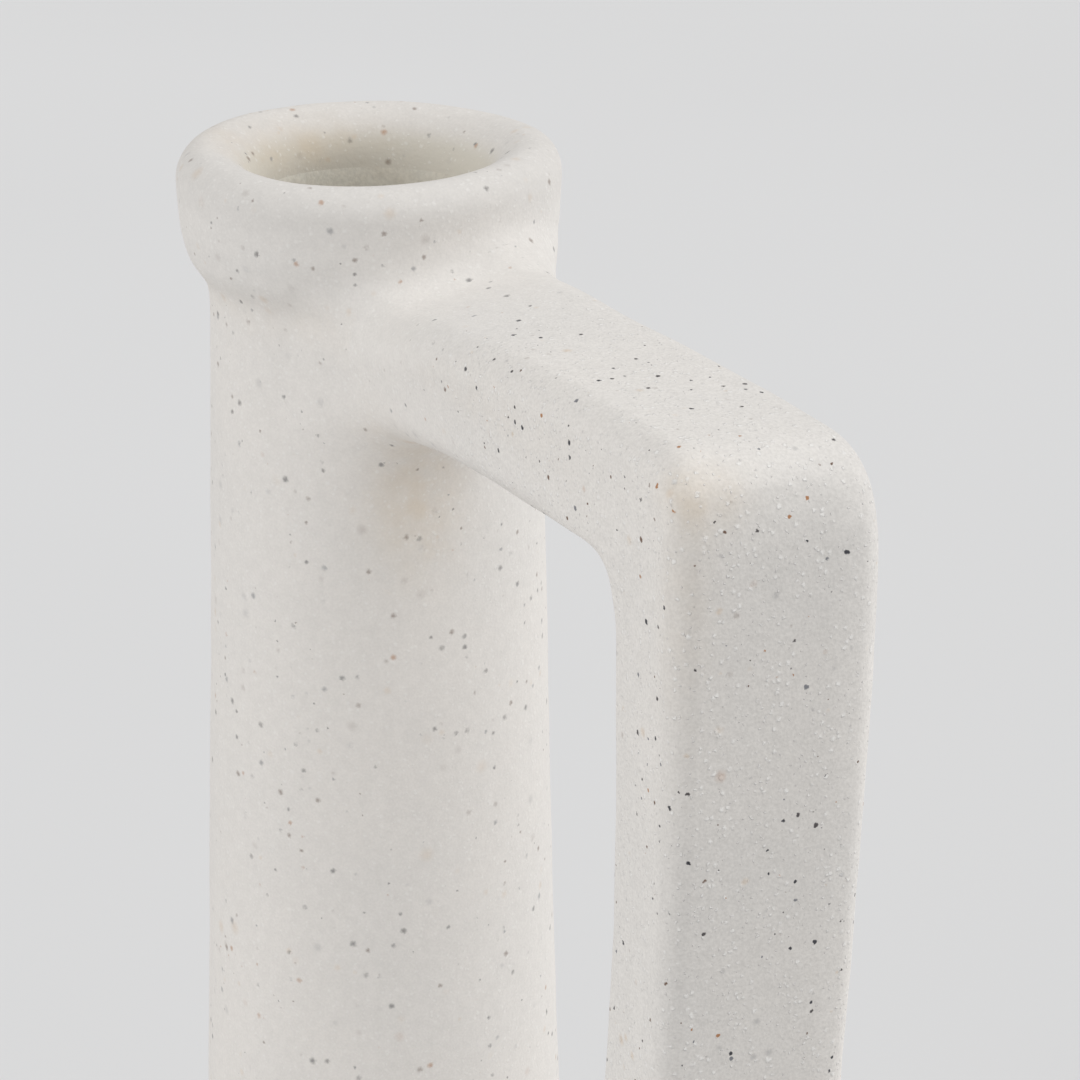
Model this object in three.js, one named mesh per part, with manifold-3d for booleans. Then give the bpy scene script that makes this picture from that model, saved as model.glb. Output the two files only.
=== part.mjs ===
// Stoneware bottle vase with a strap handle, built from the pieces a potter lutes together.
// Millimetres, +Z up. The foot stands on Z = 0, the vase's axis is Z and the handle points along +X.

import * as THREE from "three";
import { mergeVertices } from "three/addons/utils/BufferGeometryUtils.js";
import Module from "manifold-3d";

const wasm = await Module();
wasm.setup();

// ---- Overall sizes
const VASE_HEIGHT = 320; // foot to the top of the collar
const BODY_RADIUS = 88; // outside, at the widest
const NECK_DROP = 118; // top of the collar down to the neck's foot
const SHOULDER_DROP = 90; // neck's foot down to the widest height

// ---- Foot and floor
const FOOT_RADIUS = 50; // outside of the foot ring where it stands
const FOOT_RING_WIDTH = 10;
const FOOT_HEIGHT = 7;
const FOOT_CHAMFER = 1; // turned edge at the foot ring's standing face
const FOOT_FLARE = 1.2; // how much wider the foot ring is at its top
const TONGUE_WIDTH = 4; // ridge on the foot ring that keys into the floor
const TONGUE_HEIGHT = 2;
const FLOOR_THICKNESS = 8;
const FLOOR_OVERHANG = 2; // floor's lower edge beyond the foot ring
const FLOOR_SPREAD = 5; // how much the floor's rim widens up to the wall
const BOSS_HEIGHT = 2; // raised middle of the floor, inside the wall
const WALL_TOE = 8; // width of the wall's bottom edge on the floor
const TOE_HEIGHT = 3.5; // height of that edge's inside above the floor's raised middle

// ---- Body and shoulder
const BODY_WALL = 6.5;
const BELLY_SPREAD = 12; // how far the belly leans out at the floor
const BELLY_RISE = 22; // and how far it climbs while leaning
const BELLY_FULLNESS = 36; // length of the belly's upright stretch under the widest height
const SHOULDER_FULLNESS = 28; // the same above it
const SHOULDER_REACH = 24; // how far the shoulder's slope carries outward
const SHOULDER_FALL = 21; // and how far it falls over that stretch
const FLARE_REACH = 15.4; // from the neck's foot out to the shoulder's slope
const FLARE_DROP = 32; // height of that flare
const FLARE_UPRIGHT = 18; // upper stretch of the flare that still runs with the neck

// ---- Neck
const NECK_TOP_RADIUS = 17.5; // outside, in the crease under the collar
const NECK_FOOT_RADIUS = 21.6; // outside, where the shoulder begins
const NECK_WALL = 5;

// ---- Collar
const COLLAR_RADIUS = 20.9;
const COLLAR_HEIGHT = 16.2;
const COLLAR_TAPER = 5.5; // height of its lower slope into the crease
const TAPER_BEND_HEIGHT = 3.3; // height on that slope where it turns steeper
const TAPER_BEND_INSET = 0.65; // how far inside the collar's side that bend lies
const COLLAR_ROLL = 2.6; // rounding of its outer top edge
const LIP_WIDTH = 4.6; // gently sloping top of the collar, inside the roll
const LIP_DROP = 1.3; // fall of that slope towards the mouth
const COLLAR_COVER = 8; // depth of the collar over the neck's end

// ---- Handle
const HANDLE_REACH = 84.6; // axis to the upright's outer face at the elbow
const STRAP_WIDTH = 19.6;
const ARM_DROP = 10.6; // top of the collar down to the arm's top
const ARM_ROOT_THICKNESS = 15;
const ARM_END_THICKNESS = 13.6;
const ARM_ARCH = 1; // rise of the arm at mid length
const UPRIGHT_THICKNESS = 14.3;
const STRAP_EDGE = 2.6; // rounding along the strap
const ELBOW_OUTER_RADIUS = 6;
const ELBOW_INNER_RADIUS = 4;
const UPRIGHT_LEAN = 3.3; // outward lean of the upright below the elbow
const UPRIGHT_TUCK = 2.1; // inward set of its lower third
const UPRIGHT_TURN = THREE.MathUtils.degToRad(-6.4); // hand-set turn about its own length
const LANDING_INSET = 18; // body's widest radius in to the upright's outer face on the shoulder
const FILLET_RADIUS = 5.5; // clay smoothed round both ends of the handle
const FILLET_BEAD = 0.9; // thinnest edge of that clay
const FILLET_SPAN = 4.4; // length of strap that it covers beyond the wall

// ---- Inner glaze
const LINER_THICKNESS = 1.2;
const LINER_START = 6; // top of the collar down to the glaze's edge

// ---- Joints and smoothness
const GAP = 0.3; // slip line between two pieces
const LAP = 6; // height of the stepped laps between the thrown rings
const SEGMENTS = 48; // round the axis
const BELLY_STEPS = 7;
const SHOULDER_STEPS = 7;
const FLARE_STEPS = 4;
const ROLL_STEPS = 4;
const MOUTH_STEPS = 5;
const CORNER_STEPS = 3;
const ELBOW_STEPS = 4; // each side of the mitre
const ARM_STEPS = 6;
const UPRIGHT_STEPS = 10;
const FILLET_STEPS = 6;
const WELD_TOLERANCE = 1e-4; // corners nearer than this are one

// ---- Heights and radii that follow from the sizes
const floorTop = FOOT_HEIGHT + FLOOR_THICKNESS;
const neckFoot = VASE_HEIGHT - NECK_DROP;
const widest = neckFoot - SHOULDER_DROP;
const crease = VASE_HEIGHT - COLLAR_HEIGHT;
const floorRadius = FOOT_RADIUS + FLOOR_OVERHANG + FLOOR_SPREAD;
const boreRadius = NECK_TOP_RADIUS - NECK_WALL;
const armTop = VASE_HEIGHT - ARM_DROP;
const landingRadius = BODY_RADIUS - LANDING_INSET;

const v2 = (x, y) => new THREE.Vector2(x, y);

// ---- Finishes
const stoneware = new THREE.MeshStandardMaterial({ color: 0xd9d5cb, roughness: 0.86, metalness: 0 });
const bareClay = new THREE.MeshStandardMaterial({ color: 0xb9a68e, roughness: 0.95, metalness: 0 });
const linerGlaze = new THREE.MeshStandardMaterial({ color: 0x9c9482, roughness: 0.45, metalness: 0 });

// ---- The vase's side view, as (radius, height) points from the floor up

const belly = new THREE.CubicBezierCurve(
  v2(floorRadius, floorTop + GAP),
  v2(floorRadius + BELLY_SPREAD, floorTop + BELLY_RISE),
  v2(BODY_RADIUS, widest - BELLY_FULLNESS),
  v2(BODY_RADIUS, widest)
).getPoints(BELLY_STEPS);

const shoulderCorner = v2(NECK_FOOT_RADIUS + FLARE_REACH, neckFoot - FLARE_DROP);

const shoulder = new THREE.CubicBezierCurve(
  v2(BODY_RADIUS, widest),
  v2(BODY_RADIUS, widest + SHOULDER_FULLNESS),
  v2(shoulderCorner.x + SHOULDER_REACH, shoulderCorner.y - SHOULDER_FALL),
  shoulderCorner
).getPoints(SHOULDER_STEPS);

const flareSlope = SHOULDER_FALL / SHOULDER_REACH;
const flareTurn = FLARE_REACH / 2;

const flare = new THREE.CubicBezierCurve(
  shoulderCorner,
  v2(shoulderCorner.x - flareTurn, shoulderCorner.y + flareTurn * flareSlope),
  v2(NECK_FOOT_RADIUS + GAP, neckFoot - FLARE_UPRIGHT),
  v2(NECK_FOOT_RADIUS, neckFoot)
).getPoints(FLARE_STEPS);

const dome = [...shoulder, ...flare.slice(1)];

const rollCentre = v2(COLLAR_RADIUS - COLLAR_ROLL, VASE_HEIGHT - COLLAR_ROLL);

const collarSide = [
  v2(COLLAR_RADIUS - TAPER_BEND_INSET, crease + TAPER_BEND_HEIGHT),
  v2(COLLAR_RADIUS, crease + COLLAR_TAPER),
  ...new THREE.EllipseCurve(
    rollCentre.x,
    rollCentre.y,
    COLLAR_ROLL,
    COLLAR_ROLL,
    0,
    Math.PI / 2
  ).getPoints(ROLL_STEPS),
];

/** Points of an upward side view moved square to it, inward, by a depth from `start` to `end`. */
function inset(points, start, end = start) {
  const last = points.length - 1;
  const normals = points.slice(1).map((point, i) => {
    const along = point.clone().sub(points[i]).normalize();
    return v2(-along.y, along.x);
  });
  return points.map((point, i) => {
    const [before, after] = [normals[Math.max(i - 1, 0)], normals[Math.min(i, last - 1)]];
    const corner = before.clone().add(after).divideScalar(1 + before.dot(after));
    return point.clone().addScaledVector(corner, THREE.MathUtils.lerp(start, end, i / last));
  });
}

const bellyInside = inset(belly, BODY_WALL);
const shoulderInside = inset(shoulder, BODY_WALL);
const flareInside = inset(flare, BODY_WALL, NECK_WALL);
flareInside[0] = shoulderInside[SHOULDER_STEPS];
const domeInside = [...shoulderInside, ...flareInside.slice(1)];
const boreFoot = v2(NECK_FOOT_RADIUS - NECK_WALL, neckFoot);

/** Height of the vase's outside at a radius between the neck and the widest point. */
function shoulderHeight(radius) {
  for (let i = 1; i < dome.length; i += 1) {
    const [low, high] = [dome[i - 1], dome[i]];
    if (radius <= low.x && radius >= high.x) {
      const share = (low.x - radius) / (low.x - high.x || 1);
      return THREE.MathUtils.lerp(low.y, high.y, share);
    }
  }
  return radius < NECK_FOOT_RADIUS ? neckFoot : widest;
}

// ---- Solids

/** A solid of revolution about Z whose side view starts and ends on the axis. */
function turned(points) {
  const geometry = new THREE.LatheGeometry(points, SEGMENTS);
  geometry.rotateX(Math.PI / 2);
  return weld(geometry);
}

/** A ring turned about Z from a side view that closes on itself. */
function turnedRing(points) {
  return turned([...points, points[0]]);
}

/** The same surface with shared corners and only positions, as a manifold-3d solid facing outward. */
function weld(geometry) {
  const bare = geometry.clone();
  bare.deleteAttribute("normal");
  bare.deleteAttribute("uv");
  const merged = mergeVertices(bare, WELD_TOLERANCE);
  const corners = new Float32Array(merged.attributes.position.array);
  const faces = dropThin(merged.index.array);
  const solid = solidOf(corners, faces);
  return solid.volume() > 0 ? solid : solidOf(corners, turnedOver(faces));
}

/** A manifold-3d solid from its corners' coordinates and its triangles. */
function solidOf(vertProperties, triVerts) {
  return new wasm.Manifold(new wasm.Mesh({ numProp: 3, vertProperties, triVerts }));
}

/** Triangles that still have three different corners. */
function dropThin(index) {
  const kept = [];
  for (let i = 0; i < index.length; i += 3) {
    const [a, b, c] = [index[i], index[i + 1], index[i + 2]];
    if (a !== b && b !== c && c !== a) kept.push(a, b, c);
  }
  return new Uint32Array(kept);
}

/** The same triangles facing the other way. */
function turnedOver(faces) {
  const reversed = faces.slice();
  for (let i = 0; i < reversed.length; i += 3) {
    [reversed[i + 1], reversed[i + 2]] = [reversed[i + 2], reversed[i + 1]];
  }
  return reversed;
}

/** A solid through a row of rings that all have the same number of points. */
function loft(rings) {
  const count = rings[0].length;
  const positions = rings.flat().flatMap((point) => point.toArray());
  const index = [];
  for (let r = 1; r < rings.length; r += 1) {
    for (let i = 0; i < count; i += 1) {
      const [a, b] = [(r - 1) * count + i, (r - 1) * count + ((i + 1) % count)];
      const [c, d] = [a + count, b + count];
      index.push(a, b, d, a, d, c);
    }
  }
  const last = (rings.length - 1) * count;
  for (let i = 1; i < count - 1; i += 1) {
    index.push(0, i + 1, i);
    index.push(last, last + i, last + i + 1);
  }
  const geometry = new THREE.BufferGeometry();
  geometry.setAttribute("position", new THREE.Float32BufferAttribute(positions, 3));
  geometry.setIndex(index);
  return weld(geometry);
}

/**
 * The strap's section at one station: a rounded rectangle from the inner to the outer point of
 * the handle's side view, `spread` wider than the strap and turned about the upright through it.
 */
function strapRing({ inner, outer, turn = 0, spread = 0, edge = STRAP_EDGE }) {
  const middle = inner.clone().add(outer).multiplyScalar(0.5);
  const up = outer.clone().sub(inner);
  const half = up.length() / 2 - edge;
  const side = STRAP_WIDTH / 2 + spread - edge;
  up.normalize();
  const ring = [];
  [[1, 1], [-1, 1], [-1, -1], [1, -1]].forEach(([signUp, signSide], corner) => {
    for (let step = 0; step <= CORNER_STEPS; step += 1) {
      const angle = (corner + step / CORNER_STEPS) * (Math.PI / 2);
      const rise = signUp * half + edge * Math.cos(angle);
      const y = signSide * side + edge * Math.sin(angle);
      const offset = v2(up.x * rise, y).rotateAround(v2(0, 0), turn);
      ring.push(new THREE.Vector3(middle.x + offset.x, offset.y, middle.y + up.y * rise));
    }
  });
  return ring;
}

/** A station moved by a step in the handle's side view. */
function shifted(station, by) {
  return { ...station, inner: station.inner.clone().add(by), outer: station.outer.clone().add(by) };
}

/** A station whose section is larger all round. */
function grown(station, by) {
  const out = station.outer.clone().sub(station.inner).setLength(by);
  return {
    ...station,
    inner: station.inner.clone().sub(out),
    outer: station.outer.clone().add(out),
    spread: by,
    edge: STRAP_EDGE + by,
  };
}

// ---- The handle's side view, station by station

const armStart = boreRadius;
const armEnd = HANDLE_REACH - ELBOW_OUTER_RADIUS;
const innerArmEnd = HANDLE_REACH - UPRIGHT_THICKNESS - ELBOW_INNER_RADIUS;

/** Station of the arm at a share of its length; its underside ends sooner, at the elbow's inside. */
function armStation(share) {
  const rise = ARM_ARCH * (1 - (2 * share - 1) ** 2);
  const thickness = THREE.MathUtils.lerp(ARM_ROOT_THICKNESS, ARM_END_THICKNESS, share);
  return {
    outer: v2(THREE.MathUtils.lerp(armStart, armEnd, share), armTop + rise),
    inner: v2(THREE.MathUtils.lerp(armStart, innerArmEnd, share), armTop + rise - thickness),
  };
}

/** Station of the elbow, from 0 at the arm to 1 at the upright. */
function elbowStation(share) {
  const angle = (1 - share) * (Math.PI / 2);
  const arc = (x, z, radius) => v2(x + radius * Math.cos(angle), z + radius * Math.sin(angle));
  return {
    outer: arc(armEnd, armTop - ELBOW_OUTER_RADIUS, ELBOW_OUTER_RADIUS),
    inner: arc(innerArmEnd, armTop - ARM_END_THICKNESS - ELBOW_INNER_RADIUS, ELBOW_INNER_RADIUS),
    turn: UPRIGHT_TURN * share,
  };
}

const landing = shoulderHeight(landingRadius);

/** Distance of the upright's outer face from the axis at a height. */
function uprightReach(height) {
  const share = (armTop - height) / (armTop - landing);
  const left = 1 - share;
  return (
    HANDLE_REACH * left ** 3 +
    3 * (HANDLE_REACH + UPRIGHT_LEAN) * left ** 2 * share +
    3 * (HANDLE_REACH - UPRIGHT_TUCK) * left * share ** 2 +
    landingRadius * share ** 3
  );
}

/** Station of the upright between two heights of its outer and inner faces. */
function uprightStation(outerHeight, innerHeight = outerHeight) {
  return {
    outer: v2(uprightReach(outerHeight), outerHeight),
    inner: v2(uprightReach(innerHeight) - UPRIGHT_THICKNESS, innerHeight),
    turn: UPRIGHT_TURN,
  };
}

const uprightEnd = landing - BODY_WALL;
const outerStart = armTop - ELBOW_OUTER_RADIUS;
const innerStart = armTop - ARM_END_THICKNESS - ELBOW_INNER_RADIUS;
const mitre = v2(Math.SQRT1_2, -Math.SQRT1_2).multiplyScalar(GAP / 2);

const armStations = [];
for (let i = 0; i <= ARM_STEPS; i += 1) armStations.push(armStation(i / ARM_STEPS));
for (let i = 1; i < ELBOW_STEPS; i += 1) armStations.push(elbowStation((0.5 * i) / ELBOW_STEPS));
armStations.push(shifted(elbowStation(0.5), mitre.clone().negate()));

const uprightStations = [shifted(elbowStation(0.5), mitre)];
for (let i = 1; i <= ELBOW_STEPS; i += 1) uprightStations.push(elbowStation(0.5 + (0.5 * i) / ELBOW_STEPS));
for (let i = 1; i <= UPRIGHT_STEPS; i += 1) {
  const share = i / UPRIGHT_STEPS;
  const outerHeight = THREE.MathUtils.lerp(outerStart, uprightEnd, share);
  uprightStations.push(uprightStation(outerHeight, THREE.MathUtils.lerp(innerStart, uprightEnd, share)));
}

// ---- The round pieces

/** Side view of the step on a lower ring: its inner half runs on above the seam as a tongue. */
function tongue(outsideRadius, insideRadius, seam, rise = LAP) {
  const edge = (outsideRadius + insideRadius) / 2 - GAP / 2;
  return [
    v2(outsideRadius, seam - GAP / 2),
    v2(edge, seam - GAP / 2),
    v2(edge, seam + rise),
    v2(insideRadius, seam + rise),
  ];
}

/** Side view of the step on an upper ring: its outer half hangs over the tongue as a skirt. */
function skirt(outsideRadius, insideRadius, seam, rise = LAP) {
  const edge = (outsideRadius + insideRadius) / 2 + GAP / 2;
  return [
    v2(insideRadius, seam + rise + GAP),
    v2(edge, seam + rise + GAP),
    v2(edge, seam + GAP / 2),
    v2(outsideRadius, seam + GAP / 2),
  ];
}

/** The ring that the vase stands on. */
function footRing() {
  const inside = FOOT_RADIUS - FOOT_RING_WIDTH;
  const middle = FOOT_RADIUS - FOOT_RING_WIDTH / 2;
  const top = FOOT_HEIGHT - GAP;
  return turnedRing([
    v2(inside + FOOT_CHAMFER, 0),
    v2(FOOT_RADIUS - FOOT_CHAMFER, 0),
    v2(FOOT_RADIUS, FOOT_CHAMFER),
    v2(FOOT_RADIUS + FOOT_FLARE, top),
    v2(middle + TONGUE_WIDTH / 2, top),
    v2(middle + TONGUE_WIDTH / 2, top + TONGUE_HEIGHT),
    v2(middle - TONGUE_WIDTH / 2, top + TONGUE_HEIGHT),
    v2(middle - TONGUE_WIDTH / 2, top),
    v2(inside, top),
    v2(inside, FOOT_CHAMFER),
  ]);
}

/** The floor, grooved under for the foot ring and raised inside the wall. */
function baseSlab() {
  const middle = FOOT_RADIUS - FOOT_RING_WIDTH / 2;
  const groove = TONGUE_WIDTH / 2 + GAP;
  const bossRadius = floorRadius - WALL_TOE - GAP;
  return turned([
    v2(0, FOOT_HEIGHT),
    v2(middle - groove, FOOT_HEIGHT),
    v2(middle - groove, FOOT_HEIGHT + TONGUE_HEIGHT),
    v2(middle + groove, FOOT_HEIGHT + TONGUE_HEIGHT),
    v2(middle + groove, FOOT_HEIGHT),
    v2(FOOT_RADIUS + FLOOR_OVERHANG, FOOT_HEIGHT),
    v2(floorRadius, floorTop),
    v2(bossRadius, floorTop),
    v2(bossRadius, floorTop + BOSS_HEIGHT),
    v2(0, floorTop + BOSS_HEIGHT),
  ]);
}

const insideWidest = BODY_RADIUS - BODY_WALL;
const insideFloor = floorTop + BOSS_HEIGHT;
const toe = v2(floorRadius - WALL_TOE, insideFloor + TOE_HEIGHT);

/** The lower half of the body. */
function bodyWall() {
  return turnedRing([
    ...belly.slice(0, -1),
    ...tongue(BODY_RADIUS, insideWidest, widest),
    ...bellyInside.slice(1).reverse(),
    toe,
    v2(toe.x, floorTop + GAP),
  ]);
}

/** The upper half of the body, flaring into the neck. */
function shoulderWall() {
  const seamTop = widest + LAP + GAP;
  return turnedRing([
    ...dome.slice(1, -1),
    ...tongue(NECK_FOOT_RADIUS, boreFoot.x, neckFoot),
    boreFoot,
    ...domeInside.filter((point) => point.y > seamTop && point.y < neckFoot).reverse(),
    ...skirt(BODY_RADIUS, insideWidest, widest),
  ]);
}

const spigotRise = COLLAR_HEIGHT - COLLAR_COVER;

/** The neck, which stands on the shoulder's lap and carries the collar. */
function neckWall() {
  return turnedRing([
    ...tongue(NECK_TOP_RADIUS, boreRadius, crease, spigotRise),
    ...skirt(NECK_FOOT_RADIUS, boreFoot.x, neckFoot),
  ]);
}

/** The rolled collar, with a lip that slopes into the mouth. */
function collar() {
  const lipEdge = v2(rollCentre.x - LIP_WIDTH, VASE_HEIGHT - LIP_DROP);
  const mouth = new THREE.CubicBezierCurve(
    lipEdge,
    v2(boreRadius + GAP, lipEdge.y - GAP),
    v2(boreRadius, lipEdge.y - LIP_DROP),
    v2(boreRadius, VASE_HEIGHT - LINER_START)
  );
  return turnedRing([
    ...collarSide,
    ...mouth.getPoints(MOUTH_STEPS),
    ...skirt(NECK_TOP_RADIUS, boreRadius, crease, spigotRise),
  ]);
}

/** The glaze skin inside: mouth, bore, shoulder, belly and floor, closed on the axis. */
function liner() {
  const walls = [
    toe,
    ...bellyInside.slice(1, -1),
    ...domeInside.filter((point) => point.y < neckFoot),
    boreFoot,
    v2(boreRadius, crease),
    v2(boreRadius, VASE_HEIGHT - LINER_START),
  ];
  const under = insideFloor + GAP;
  const over = under + LINER_THICKNESS;
  return turned([
    v2(0, over),
    v2(toe.x - GAP - LINER_THICKNESS, over),
    ...inset(walls, GAP + LINER_THICKNESS),
    ...inset(walls, GAP).reverse(),
    v2(toe.x - GAP, under),
    v2(0, under),
  ]);
}

/** The vase's whole outside as one solid, larger by `grow`, used to fit the handle to it. */
function outsideForm(grow) {
  const outline = [...belly, ...dome.slice(1), v2(NECK_TOP_RADIUS, crease), ...collarSide];
  const outer = inset(outline, -grow);
  return turned([v2(0, outer[0].y), ...outer, v2(0, VASE_HEIGHT + grow)]);
}

// ---- The handle's pieces

/** Depth of a hollow quarter-round fillet at a distance from the wall it leaves. */
function filletDepth(distance) {
  if (distance <= 0) return FILLET_RADIUS;
  if (distance >= FILLET_RADIUS) return FILLET_BEAD;
  const left = FILLET_RADIUS - distance;
  return Math.max(FILLET_BEAD, FILLET_RADIUS - Math.sqrt(FILLET_RADIUS ** 2 - left ** 2));
}

const cutter = outsideForm(GAP);

/** The arm, cut to the collar and the neck. */
function handleArm() {
  return loft(armStations.map(strapRing)).subtract(cutter);
}

/** The upright, cut to the shoulder. */
function handleUpright() {
  return loft(uprightStations.map(strapRing)).subtract(cutter);
}

/** Clay smoothed round the arm where it leaves the collar and the neck. */
function upperFillet() {
  const end = COLLAR_RADIUS + FILLET_SPAN;
  const sideWall = Math.sqrt(Math.max(NECK_TOP_RADIUS ** 2 - (STRAP_WIDTH / 2) ** 2, 0));
  const rings = [];
  for (let i = 0; i <= FILLET_STEPS; i += 1) {
    const x = THREE.MathUtils.lerp(armStart, end, i / FILLET_STEPS);
    const share = (x - armStart) / (armEnd - armStart);
    const { outer, inner } = armStation(share);
    const spread = filletDepth(x - sideWall - FILLET_RADIUS / 2);
    rings.push(
      strapRing({
        outer: v2(x, outer.y + filletDepth(x - COLLAR_RADIUS)),
        inner: v2(x, inner.y - filletDepth(x - NECK_TOP_RADIUS)),
        spread,
        edge: STRAP_EDGE + spread,
      })
    );
  }
  const hole = loft(armStations.map((station) => strapRing(grown(station, GAP))));
  return loft(rings).subtract(hole).subtract(cutter);
}

/** Clay smoothed round the upright where it stands on the shoulder. */
function lowerFillet() {
  const top = shoulderHeight(landingRadius - UPRIGHT_THICKNESS) + FILLET_SPAN;
  const rings = [];
  for (let i = 0; i <= FILLET_STEPS; i += 1) {
    const height = THREE.MathUtils.lerp(top, uprightEnd, i / FILLET_STEPS);
    const { outer, inner, turn } = uprightStation(height);
    const middle = (outer.x + inner.x) / 2;
    const spread = filletDepth(height - shoulderHeight(middle));
    rings.push(
      strapRing({
        outer: v2(outer.x + filletDepth(height - shoulderHeight(outer.x)), height),
        inner: v2(inner.x - filletDepth(height - shoulderHeight(inner.x)), height),
        turn,
        spread,
        edge: STRAP_EDGE + spread,
      })
    );
  }
  const hole = loft(uprightStations.map((station) => strapRing(grown(station, GAP))));
  return loft(rings).subtract(hole).subtract(cutter);
}

// ---- The scene graph

/** A named mesh with flat facets from a solid. */
function piece(name, solid, material) {
  const { vertProperties, triVerts, numProp } = solid.getMesh();
  const positions = new Float32Array((vertProperties.length / numProp) * 3);
  for (let i = 0; i < positions.length / 3; i += 1) {
    for (let k = 0; k < 3; k += 1) positions[3 * i + k] = vertProperties[numProp * i + k];
  }
  const geometry = new THREE.BufferGeometry();
  geometry.setAttribute("position", new THREE.BufferAttribute(positions, 3));
  geometry.setIndex(new THREE.BufferAttribute(new Uint32Array(triVerts), 1));
  geometry.computeVertexNormals();
  const mesh = new THREE.Mesh(geometry, material);
  mesh.name = name;
  return mesh;
}

const body = new THREE.Group();
body.add(
  piece("foot_ring", footRing(), bareClay),
  piece("base_slab", baseSlab(), bareClay),
  piece("body_wall", bodyWall(), stoneware),
  piece("shoulder_wall", shoulderWall(), stoneware),
  piece("liner_glaze", liner(), linerGlaze)
);

const neck = new THREE.Group();
neck.add(piece("neck_wall", neckWall(), stoneware), piece("collar", collar(), stoneware));

const handle = new THREE.Group();
handle.add(
  piece("handle_arm", handleArm(), stoneware),
  piece("handle_upright", handleUpright(), stoneware),
  piece("upper_fillet", upperFillet(), stoneware),
  piece("lower_fillet", lowerFillet(), stoneware)
);

const vase = new THREE.Group();
vase.add(body, neck, handle);

export default vase;
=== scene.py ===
"""Stoneware bottle vase with a strap handle: its fired-clay pieces, finishes, floor, light and camera."""

import logging
import math
from dataclasses import dataclass, field
from enum import Enum
from typing import Callable, Sequence

import bpy
import numpy as np
from mathutils import Matrix, Vector

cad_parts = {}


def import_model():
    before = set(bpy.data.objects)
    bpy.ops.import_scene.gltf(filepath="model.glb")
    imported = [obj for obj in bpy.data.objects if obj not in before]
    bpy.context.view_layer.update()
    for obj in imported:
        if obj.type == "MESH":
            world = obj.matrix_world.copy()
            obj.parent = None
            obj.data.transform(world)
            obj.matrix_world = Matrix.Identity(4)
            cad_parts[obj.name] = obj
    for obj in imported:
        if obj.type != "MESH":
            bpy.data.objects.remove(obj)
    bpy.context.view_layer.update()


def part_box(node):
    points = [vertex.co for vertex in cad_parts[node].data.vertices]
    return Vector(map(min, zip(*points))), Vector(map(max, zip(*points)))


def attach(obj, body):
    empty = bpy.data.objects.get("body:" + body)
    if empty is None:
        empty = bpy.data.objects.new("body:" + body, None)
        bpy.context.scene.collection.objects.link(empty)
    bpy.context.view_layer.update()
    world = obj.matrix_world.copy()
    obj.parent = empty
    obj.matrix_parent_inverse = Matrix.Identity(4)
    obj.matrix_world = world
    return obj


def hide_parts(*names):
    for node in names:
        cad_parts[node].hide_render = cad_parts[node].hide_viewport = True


Array = np.ndarray
Colour = tuple[float, float, float]
Field = Callable[[Array], Array]

MM = 0.001
SMALL = 1e-6  # keeps a division or a set of equations sound
HALF_SLIP = 0.15 * MM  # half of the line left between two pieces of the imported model
LOG = logging.getLogger("vase")


class Slot(Enum):
    """Material slots, one for each of the vase's finishes."""

    STONEWARE = "stoneware"
    BARE_CLAY = "bare_clay"
    LINER_GLAZE = "liner_glaze"


class Mark(Enum):
    """Tan tints, the liner's khaki, a greyer rim and painted shade laid on the clay, each held as an
    attribute of the mesh.
    """

    FLASH = "flash_and_shade"
    SMOKE = "shade_and_rim_grey"
    WASH_AND_SHADE = "wash_and_shade"


class Anchor(Enum):
    """Places on the vase that its tan patches are measured from."""

    AXIS = "axis"
    ARM = "arm"
    ELBOW = "elbow"
    CREASE = "crease"
    TOP = "top"
    SHOULDER = "shoulder"


# ---------------------------------------------------------------- small geometry helpers


def curve(start: Sequence[float], lean: Sequence[float], tuck: Sequence[float], end: Sequence[float],
          steps: int = 120) -> Array:
    """Samples a cubic curve through a side view.

    Args:
        start: first (radius, height) point.
        lean: handle point that the curve leaves the start towards.
        tuck: handle point that the curve arrives from.
        end: last point.
        steps: number of stretches.

    Returns:
        steps + 1 points, one per row.
    """
    t = np.linspace(0.0, 1.0, steps + 1)[:, None]
    a, b, c, d = (np.asarray(p, float) for p in (start, lean, tuck, end))
    return (1 - t) ** 3 * a + 3 * (1 - t) ** 2 * t * b + 3 * (1 - t) * t**2 * c + t**3 * d


def unit(vectors: Array) -> Array:
    """Vectors scaled to length one along the last axis."""
    return vectors / np.maximum(np.linalg.norm(vectors, axis=-1, keepdims=True), 1e-12)


def eased(share: Array) -> Array:
    """A share from nought to one that starts and ends gently."""
    share = np.clip(share, 0.0, 1.0)
    return share * share * (3 - 2 * share)


def squared_off(vectors: Array, headings: Array) -> Array:
    """Vectors without their part along unit headings."""
    return vectors - np.sum(vectors * headings, -1, keepdims=True) * headings


def run_along(points: Array) -> Array:
    """Distance of each point of a line from its first, along the line."""
    return np.concatenate([[0.0], np.cumsum(np.linalg.norm(np.diff(points, axis=0), axis=1))])


def looked_up(at: Array, base: Array, table: Array) -> Array:
    """Rows of a table, whose own rows stand at base, read at places between them."""
    return np.stack([np.interp(at, base, column) for column in table.T], axis=-1)


def respaced(points: Array, spacing: float) -> Array:
    """Points at an even spacing along a line of points."""
    run = run_along(points)
    return looked_up(np.linspace(0.0, run[-1], max(2, int(round(run[-1] / spacing)) + 1)), run, points)


def gradient(field_at: Field, points: Array, step: float = 0.05 * MM) -> Array:
    """Slope of a field at points."""
    axes = np.eye(3) * step
    return np.stack([field_at(points + a) - field_at(points - a) for a in axes], axis=-1) / (2 * step)


def settled(field_at: Field, points: Array, rounds: int = 6) -> Array:
    """Points moved onto the surface where a distance field is zero.

    Args:
        field_at: distance field.
        points: points near its surface.
        rounds: number of corrections.

    Returns:
        The moved points.
    """
    for _ in range(rounds):
        slope = gradient(field_at, points)
        points = points - slope * (field_at(points) / np.maximum((slope**2).sum(-1), SMALL))[:, None]
    return points


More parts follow.
